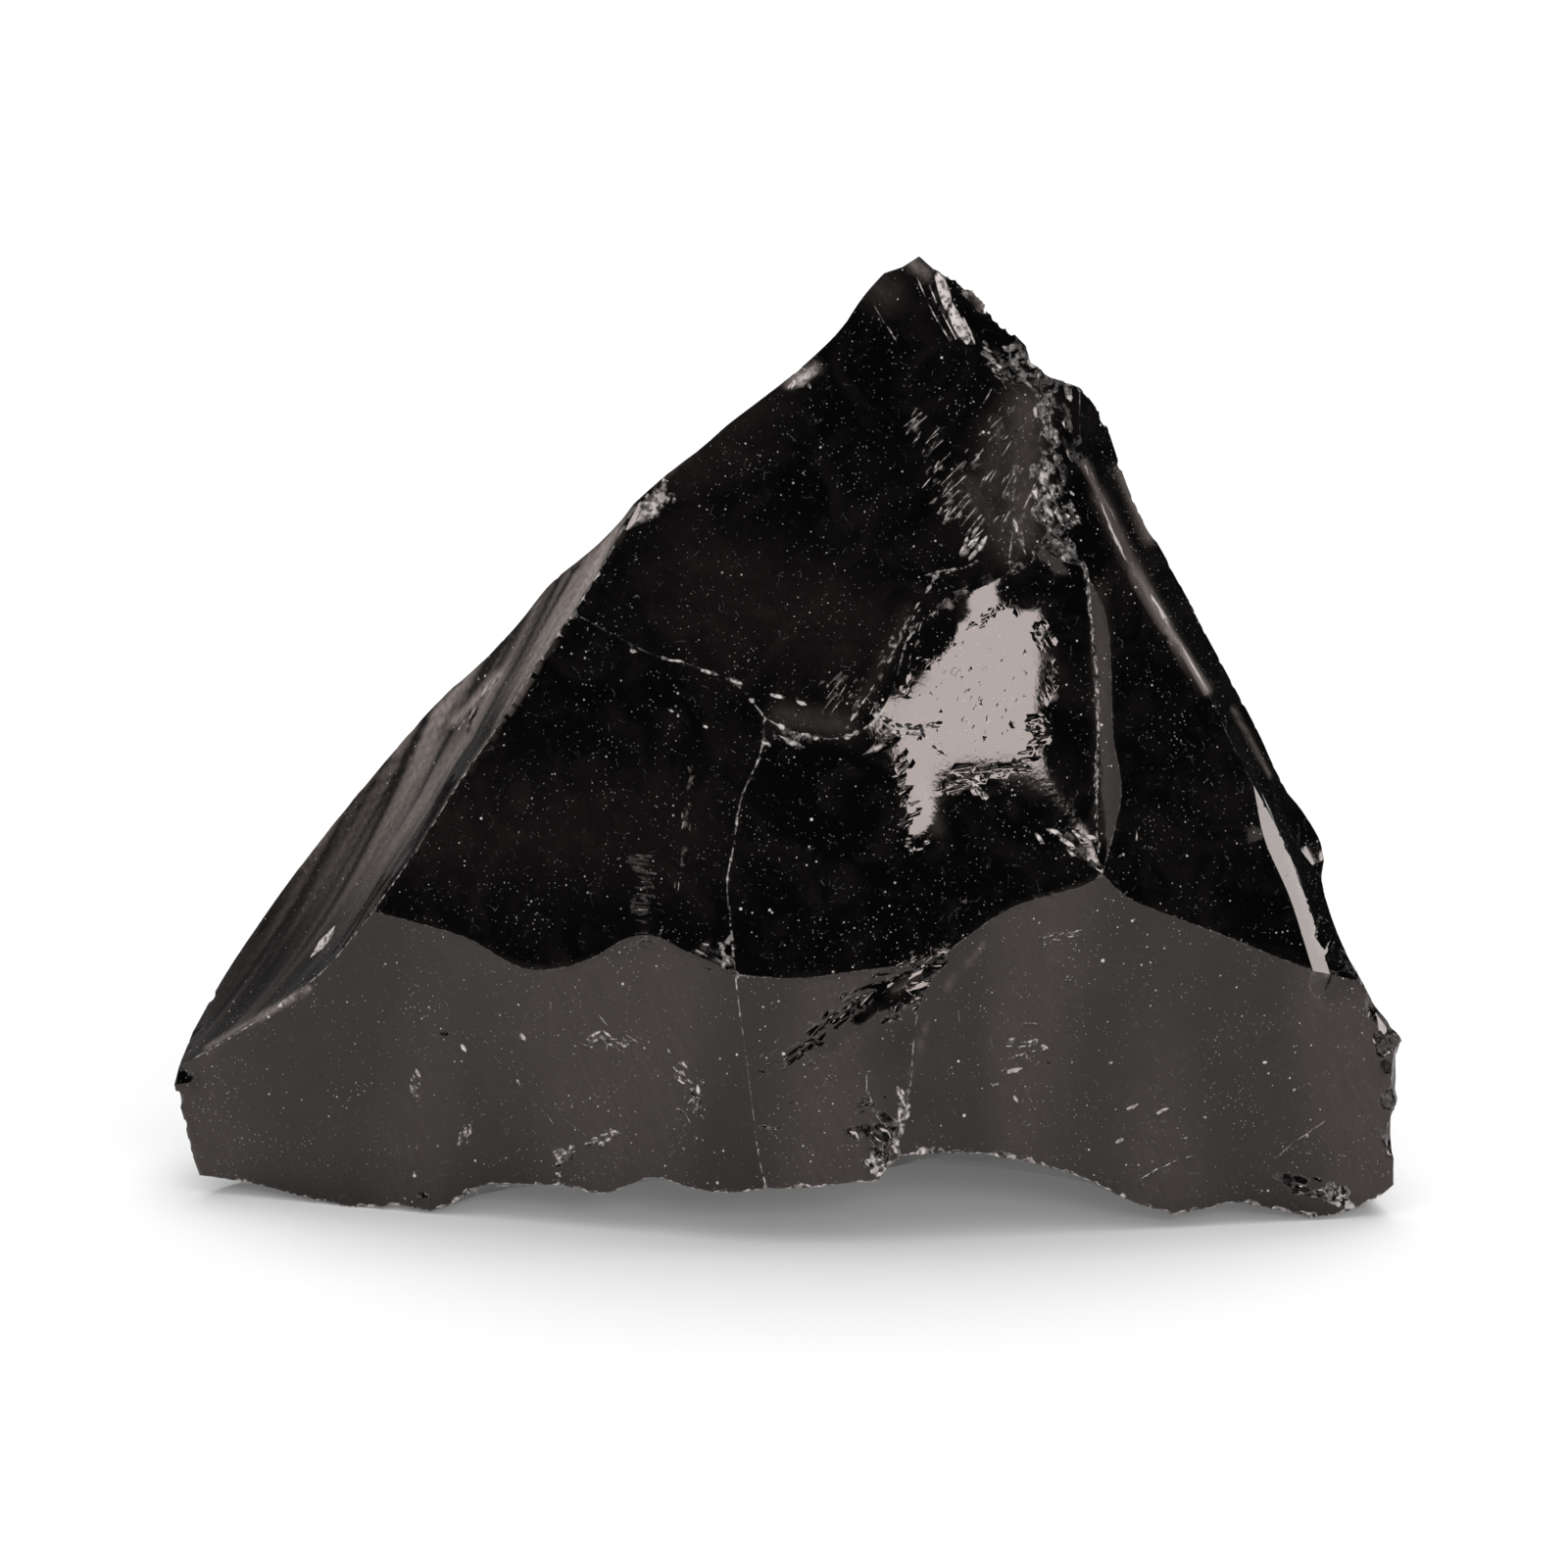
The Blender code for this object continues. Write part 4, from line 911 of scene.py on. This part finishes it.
def milk_and_painted_light(mesh):
    """How milky each point of the mesh is, with the painted highlights and painted reflections in
    the same value.
    """
    places = np.array([vertex.co for vertex in mesh.vertices])
    normals = np.array([vertex.normal for vertex in mesh.vertices])
    ahead = smooth_step(normals @ np.array(OUT), *SEEN_AHEAD)
    across, up = on_board(places)
    total = np.zeros(len(places))
    for x0, y0, x1, y1, half_width, strength in MILK_AND_PAINTED_LIGHT_STREAKS:
        gap = gap_to_run(across, up, (x0, y0), (x1, y1))
        total = np.maximum(total, strength * np.exp(-(gap / half_width) ** 2))
    total *= ahead

    # Painted reflection of the floor, in soft bands, on front faces that turn down.
    apron = smooth_step(-normals[:, 2], *APRON_TURN) * ahead
    bands = noise_at(np.column_stack([across, up * 0.25, up * 0]), (7.0,) * 3)
    total += apron * APRON_PAINTED_REFLECTION * smooth_step(bands, *APRON_BANDS)

    # Milky streaks with painted sheen on the left flank, lighter higher up.
    along, beside, part = flank_places(places, normals, "left")
    streak = 0.5
    for length, width, shift, share in MILK_AND_SHEEN_STREAKS:
        streak = streak + streak_noise(along, beside, part, length, width, shift) * share
    above = (1 - FLANK_FOOT_SHARE) * smooth_step(up, *FLANK_CLEARS)
    total += part * FLANK_MILK_AND_SHEEN * (FLANK_FOOT_SHARE + above) * np.clip(streak, *STREAK_RANGE)
    return total


# How bright the line along each ridge is, partly wear and partly painted highlight: its path, and a
# share.
RIDGE_WEAR_AND_HIGHLIGHTS = [
    (CREST + [(1106, 575)], 0.4),
    ([(1000, 345), (1060, 391), (1110, 400)], 0.4),
    ([(686, 492), (640, 545), (580, 633), (536, 700), (477, 802), (376, 933), (313, 1008),
      (206, 1071)], 0.8),
    ([(1378, 985), (1425, 1061), (1422, 1200)], 0.15),
    ([(782, 755), (762, 805), (750, 850), (745, 897), (741, 920), (749, 968), (755, 1040)], 0.7),
    ([(755, 1040), (779, 1209)], 0.3),
    ([(773, 726), (802, 747), (839, 754), (872, 747), (888, 726)], 0.9),
    (LIP_END, 0.7),
    ([(650, 660), (700, 677), (773, 726)], 0.2),
    ([(180, 1205), (340, 1224), (430, 1235), (480, 1214), (700, 1213), (850, 1208),
      (918, 1178)], 1.0),
    ([(918, 1178), (1060, 1178), (1150, 1205), (1206, 1236), (1300, 1238), (1420, 1214)], 0.9),
    ([(1003, 961), (965, 1007), (944, 1043), (918, 1178)], 0.45),
    ([(1119, 868), (1180, 895), (1240, 930), (1300, 965)], 0.25),
]
PLAIN_RIDGE_LINE = 0.12
RIDGE_REACH = 0.9
RIDGE_AHEAD = -0.2


def ridge_brightness(mesh):
    """How bright the line of wear and painted highlight along the nearest ridge is, for each point
    of the mesh.
    """
    places = np.array([vertex.co for vertex in mesh.vertices])
    ahead = np.array([vertex.normal for vertex in mesh.vertices]) @ np.array(OUT) > RIDGE_AHEAD
    across, up = on_board(places)
    bright = np.full(len(places), PLAIN_RIDGE_LINE)
    for path, share in RIDGE_WEAR_AND_HIGHLIGHTS:
        for start, end in zip(path, path[1:]):
            near = (gap_to_run(across, up, start, end) < RIDGE_REACH) & ahead
            bright = np.where(near, np.maximum(bright, share), bright)
    return bright


mark_keen_edges(stone_mesh, KEEN_ANGLE)


def keep_on_mesh(name, values):
    kept = stone_mesh.attributes.new(name, "FLOAT", "POINT")
    kept.data.foreach_set("value", values.astype(np.float32))


# Milky haze with painted highlights and painted reflections.
keep_on_mesh("milk_and_painted_light_mask", milk_and_painted_light(stone_mesh))
keep_on_mesh("ridge_gap", gap_to_ridge(stone_mesh))
keep_on_mesh("ridge_line", ridge_brightness(stone_mesh))


def add(tree, kind, inputs, **settings):
    """Adds a shader node; an input is a value, or the socket that feeds it."""
    made = tree.nodes.new(kind)
    for name, value in settings.items():
        setattr(made, name, value)
    for name, value in inputs.items():
        if isinstance(value, bpy.types.NodeSocket):
            tree.links.new(value, made.inputs[name])
        else:
            made.inputs[name].default_value = value
    return made


def ramp(tree, value, low, high, bottom=0.0, top=1.0):
    """Runs from bottom to top as the value goes from low to high."""
    made = add(tree, "ShaderNodeMapRange", {"Value": value, "From Min": low, "From Max": high,
                                            "To Min": bottom, "To Max": top})
    return made.outputs["Result"]


def sums(tree, operation, first, second):
    made = add(tree, "ShaderNodeMath", {0: first, 1: second}, operation=operation)
    return made.outputs[0]


def mix_colour(tree, amount, first, second):
    made = add(tree, "ShaderNodeMix", {"Factor": amount, "A": first, "B": second},
               data_type="RGBA")
    return made.outputs["Result"]


def marks_group(name, measure):
    """The start of a group of small marks: its sockets, its places and their scale."""
    group = bpy.data.node_groups.new(name, "ShaderNodeTree")
    for socket in ("Cell", measure, "Seed"):
        group.interface.new_socket(socket, in_out="INPUT", socket_type="NodeSocketFloat")
    group.interface.new_socket("Amount", in_out="OUTPUT", socket_type="NodeSocketFloat")
    asked = group.nodes.new("NodeGroupInput").outputs
    given = group.nodes.new("NodeGroupOutput").inputs["Amount"]
    places = add(group, "ShaderNodeTexCoord", {}).outputs["Object"]
    shifted = add(group, "ShaderNodeVectorMath", {0: places, 1: asked["Seed"]},
                  operation="ADD").outputs[0]
    scale = sums(group, "DIVIDE", 1 / MM, asked["Cell"])
    size = sums(group, "DIVIDE", asked[measure], asked["Cell"])
    return group, given, shifted, scale, size


def specks_group():
    """Scattered dots of this size in mm, about one to a cell; some cells have none."""
    group, given, shifted, scale, size = marks_group("specks", "Size")
    cells = add(group, "ShaderNodeTexVoronoi", {"Vector": shifted, "Scale": scale})
    patches = add(group, "ShaderNodeTexNoise", {"Vector": shifted, "Scale": 0.35 / MM,
                                                "Detail": 4.0})
    plenty = ramp(group, patches.outputs[0], 0.35, 0.7, 0.3, 1.5)
    size = sums(group, "MULTIPLY", size, plenty)
    near = sums(group, "DIVIDE", cells.outputs["Distance"], size)
    group.links.new(ramp(group, near, 1.0, 0.5), given)
    return group


def hairs_group():
    """Hair scratches: thin broken lines, more in some patches than others."""
    group, given, shifted, scale, width = marks_group("hairs", "Width")
    bend = add(group, "ShaderNodeTexNoise", {"Vector": shifted, "Scale": scale,
                                             "Detail": 2.0}).outputs["Color"]
    small = add(group, "ShaderNodeVectorMath", {0: bend, "Scale": 1.2 * MM},
                operation="SCALE").outputs[0]
    bent = add(group, "ShaderNodeVectorMath", {0: shifted, 1: small},
               operation="ADD").outputs[0]
    lines = add(group, "ShaderNodeTexVoronoi", {"Vector": bent, "Scale": scale},
                feature="DISTANCE_TO_EDGE").outputs["Distance"]
    thin = ramp(group, sums(group, "DIVIDE", lines, width), 1.0, 0.3)
    pieces = add(group, "ShaderNodeTexNoise", {"Vector": shifted, "Scale": 1.3 / MM,
                                               "Detail": 3.0}).outputs[0]
    kept = ramp(group, pieces, 0.6, 0.72)
    group.links.new(sums(group, "MULTIPLY", thin, kept), given)
    return group


FIBRE_TURN = (0, math.radians(-25), 0)
FIBRE_SCALE = (0.3 * MM, 0.3 * MM, 3.0 * MM)
GLASS_IOR = 1.5
WARM_SHINE = (1.0, 0.87, 0.83, 1)
BLACK = (0.001, 0.001, 0.001, 1)
MILK_AND_PAINTED_LIGHT_COLOUR = (0.78, 0.66, 0.61, 1)
MOST_FILM = 0.007
SCRATCHED = (0.8, 0.78, 0.76, 1)
DUSTY = (0.8, 0.76, 0.72, 1)
EDGE_WEAR_AND_HIGHLIGHT = (0.85, 0.8, 0.78, 1)
FROSTED = (0.62, 0.57, 0.55, 1)


def obsidian_glass():
    """Black glass with its edges, frosted spots, dust and hair scratches, with a painted highlight
    along the ridges and painted highlights and reflections in its milky streaks.
    """
    material = bpy.data.materials.new("obsidian")
    material.use_nodes = True
    tree = material.node_tree
    shader = tree.nodes["Principled BSDF"]
    specks, hairs = specks_group(), hairs_group()

    def effect(group, cell, size, seed):
        made = add(tree, "ShaderNodeGroup", {}, node_tree=group)
        for socket, value in zip(made.inputs, (cell, size, seed)):
            socket.default_value = value
        return made.outputs["Amount"]

    def kept_value(name):
        return add(tree, "ShaderNodeAttribute", {}, attribute_name=name).outputs["Fac"]

    def times(first, second):
        return sums(tree, "MULTIPLY", first, second)

    def most(first, second):
        return sums(tree, "MAXIMUM", first, second)

    places = add(tree, "ShaderNodeTexCoord", {}).outputs["Object"]
    grain = add(tree, "ShaderNodeTexNoise", {"Vector": places, "Scale": 3.0 / MM,
                                             "Detail": 6.0}).outputs[0]
    cloud = add(tree, "ShaderNodeTexNoise", {"Vector": places, "Scale": 0.25 / MM,
                                             "Detail": 7.0, "Distortion": 1.5}).outputs[0]
    patchy = add(tree, "ShaderNodeTexNoise", {"Vector": places, "Scale": 0.9 / MM,
                                              "Detail": 4.0}).outputs[0]
    keen = times(ramp(tree, kept_value("ridge_gap"), 0.07, 0.015), kept_value("ridge_line"))
    broken = times(ramp(tree, grain, 0.42, 0.62), ramp(tree, patchy, 0.4, 0.6, 0.2, 1.0))
    edge = times(keen, broken)
    frosted = times(kept_value("frost"), ramp(tree, grain, 0.4, 0.55, 0.2, 1.0))
    fine_dust = times(effect(specks, 0.30, 0.045, 0), 0.35)
    middling_dust = times(effect(specks, 0.75, 0.07, 0.6), 0.7)
    dust = most(fine_dust, most(middling_dust, effect(specks, 2.0, 0.11, 0.3)))
    scratch = most(effect(hairs, 1.3, 0.014, 0.1), effect(hairs, 3.1, 0.016, 0.2))
    drawn = add(tree, "ShaderNodeMapping", {"Vector": places, "Rotation": FIBRE_TURN,
                                            "Scale": FIBRE_SCALE}, vector_type="TEXTURE")
    fibres = add(tree, "ShaderNodeTexNoise", {"Vector": drawn.outputs[0], "Scale": 1.0,
                                              "Detail": 3.0}).outputs[0]
    # Milky haze with painted highlights and painted reflections, over a random cloudy tone.
    milk_and_light_amount = times(kept_value("milk_and_painted_light_mask"), ramp(tree, fibres, 0.35, 0.65, 0.8, 1.2))
    film_and_painted_light = sums(tree, "ADD", ramp(tree, cloud, 0.45, 0.8, 0.0, MOST_FILM), milk_and_light_amount)

    colour = mix_colour(tree, film_and_painted_light, BLACK, MILK_AND_PAINTED_LIGHT_COLOUR)
    colour = mix_colour(tree, times(scratch, 0.11), colour, SCRATCHED)
    colour = mix_colour(tree, times(dust, 0.7), colour, DUSTY)
    # Painted highlight with wear: a bright line along the ridges.
    colour = mix_colour(tree, times(edge, 0.75), colour, EDGE_WEAR_AND_HIGHLIGHT)
    colour = mix_colour(tree, frosted, colour, FROSTED)
    tree.links.new(colour, shader.inputs["Base Color"])
    rough = ramp(tree, cloud, 0.4, 0.8, 0.03, 0.07)
    rough = most(rough, times(dust, 0.5))
    rough = most(rough, times(frosted, 0.45))
    rough = most(rough, times(effect(hairs, 0.9, 0.03, 0.5), 0.4))
    tree.links.new(rough, shader.inputs["Roughness"])
    bump = add(tree, "ShaderNodeBump", {"Height": grain, "Strength": 0.12, "Distance": 0.02 * MM})
    tree.links.new(bump.outputs[0], shader.inputs["Normal"])
    shader.inputs["IOR"].default_value = GLASS_IOR
    shader.inputs["Specular Tint"].default_value = WARM_SHINE
    return material


stone_mesh.materials.clear()
stone_mesh.materials.append(obsidian_glass())
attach(stone, "root")
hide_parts("obsidian_chunk")

# ------------------------------------------------
# The table: one wide, plain white sheet, which the lamps shine through a little.
# ------------------------------------------------
FLOOR_RADIUS = 3.0
FLOOR_SIDES = 96
FLOOR_DROP = 0.02 * MM
floor_mesh = bpy.data.meshes.new("floor")
table = bmesh.new()
bmesh.ops.create_circle(table, cap_ends=True, segments=FLOOR_SIDES, radius=FLOOR_RADIUS)
table.to_mesh(floor_mesh)
table.free()
floor = bpy.data.objects.new("floor", floor_mesh)
floor.location = (0, 0, -FLOOR_DROP)
bpy.context.collection.objects.link(floor)
white = bpy.data.materials.new("white_sheet")
white.use_nodes = True
sheet = {"Base Color": (0.9, 0.9, 0.9, 1), "Roughness": 0.9, "Specular IOR Level": 0.0,
         "Emission Color": (1, 1, 1, 1), "Emission Strength": 0.13}
for name, value in sheet.items():
    white.node_tree.nodes["Principled BSDF"].inputs[name].default_value = value
floor_mesh.materials.append(white)

# ------------------------------------------------
# The light: a wide soft lamp above and behind, and a fill from the front that leaves no picture in
# the glass. Soft boxes in front and at the right do show in it, and so does a dim screen behind.
# ------------------------------------------------
AIM = Vector((0, 0, 25 * MM))
BOX_DISTANCE = 1.0
ROOM = (0.02, 0.02, 0.02, 1)


def soft_box(name, turn, lean, width, height, radiance):
    """A box lamp that shows as width by height in degrees from the stone."""
    data = bpy.data.lights.new(name, "AREA")
    data.shape = "RECTANGLE"
    data.size = 2 * BOX_DISTANCE * math.tan(math.radians(width) / 2)
    data.size_y = 2 * BOX_DISTANCE * math.tan(math.radians(height) / 2)
    data.energy = radiance * math.pi * data.size * data.size_y
    lamp = bpy.data.objects.new(name, data)
    toward = facing_way(turn, lean)
    lamp.location = AIM + toward * BOX_DISTANCE
    lamp.rotation_euler = toward.to_track_quat("Z", "Y").to_euler()
    lamp.visible_camera = False
    bpy.context.collection.objects.link(lamp)


def sky_light(name, turn, lean, angle, energy, shows):
    """A wide soft light from far off. One that does not show leaves no picture in the glass."""
    data = bpy.data.lights.new(name, "SUN")
    data.angle = math.radians(angle)
    data.energy = energy
    lamp = bpy.data.objects.new(name, data)
    lamp.rotation_euler = facing_way(turn, lean).to_track_quat("Z", "Y").to_euler()
    lamp.visible_glossy = shows
    bpy.context.collection.objects.link(lamp)


sky_light("overhead", 170, 62, 60, 2.1, True)
sky_light("fill", 0, 42, 90, 1.6, False)
soft_box("front_box", 10.2, 17.4, 21, 9.8, 11)
soft_box("right_box", 97, 12, 12, 14, 8)
soft_box("left_screen", -134, 20, 50, 30, 0.12)
soft_box("dim_box", 34, 14.0, 5, 4, 1.0)

world = bpy.data.worlds.new("studio")
bpy.context.scene.world = world
world.use_nodes = True
world.node_tree.nodes["Background"].inputs["Color"].default_value = ROOM
bpy.context.scene.view_settings.view_transform = "Standard"

# ------------------------------------------------
# The camera: a long lens a little above the stone.
# ------------------------------------------------
CAMERA_DISTANCE = 1.6
FRAME_WIDTH = 100 * MM
CAMERA_LEAN = 12
SENSOR_WIDTH = 36
LOOK_AT = Vector((-0.244, -11.15, 27.8)) * MM
camera_data = bpy.data.cameras.new("camera")
camera_data.sensor_width = SENSOR_WIDTH
camera_data.lens = SENSOR_WIDTH * CAMERA_DISTANCE / FRAME_WIDTH
camera = bpy.data.objects.new("camera", camera_data)
toward = facing_way(0, CAMERA_LEAN)
camera.location = LOOK_AT + toward * CAMERA_DISTANCE
camera.rotation_euler = toward.to_track_quat("Z", "Y").to_euler()
bpy.context.collection.objects.link(camera)
bpy.context.scene.camera = camera
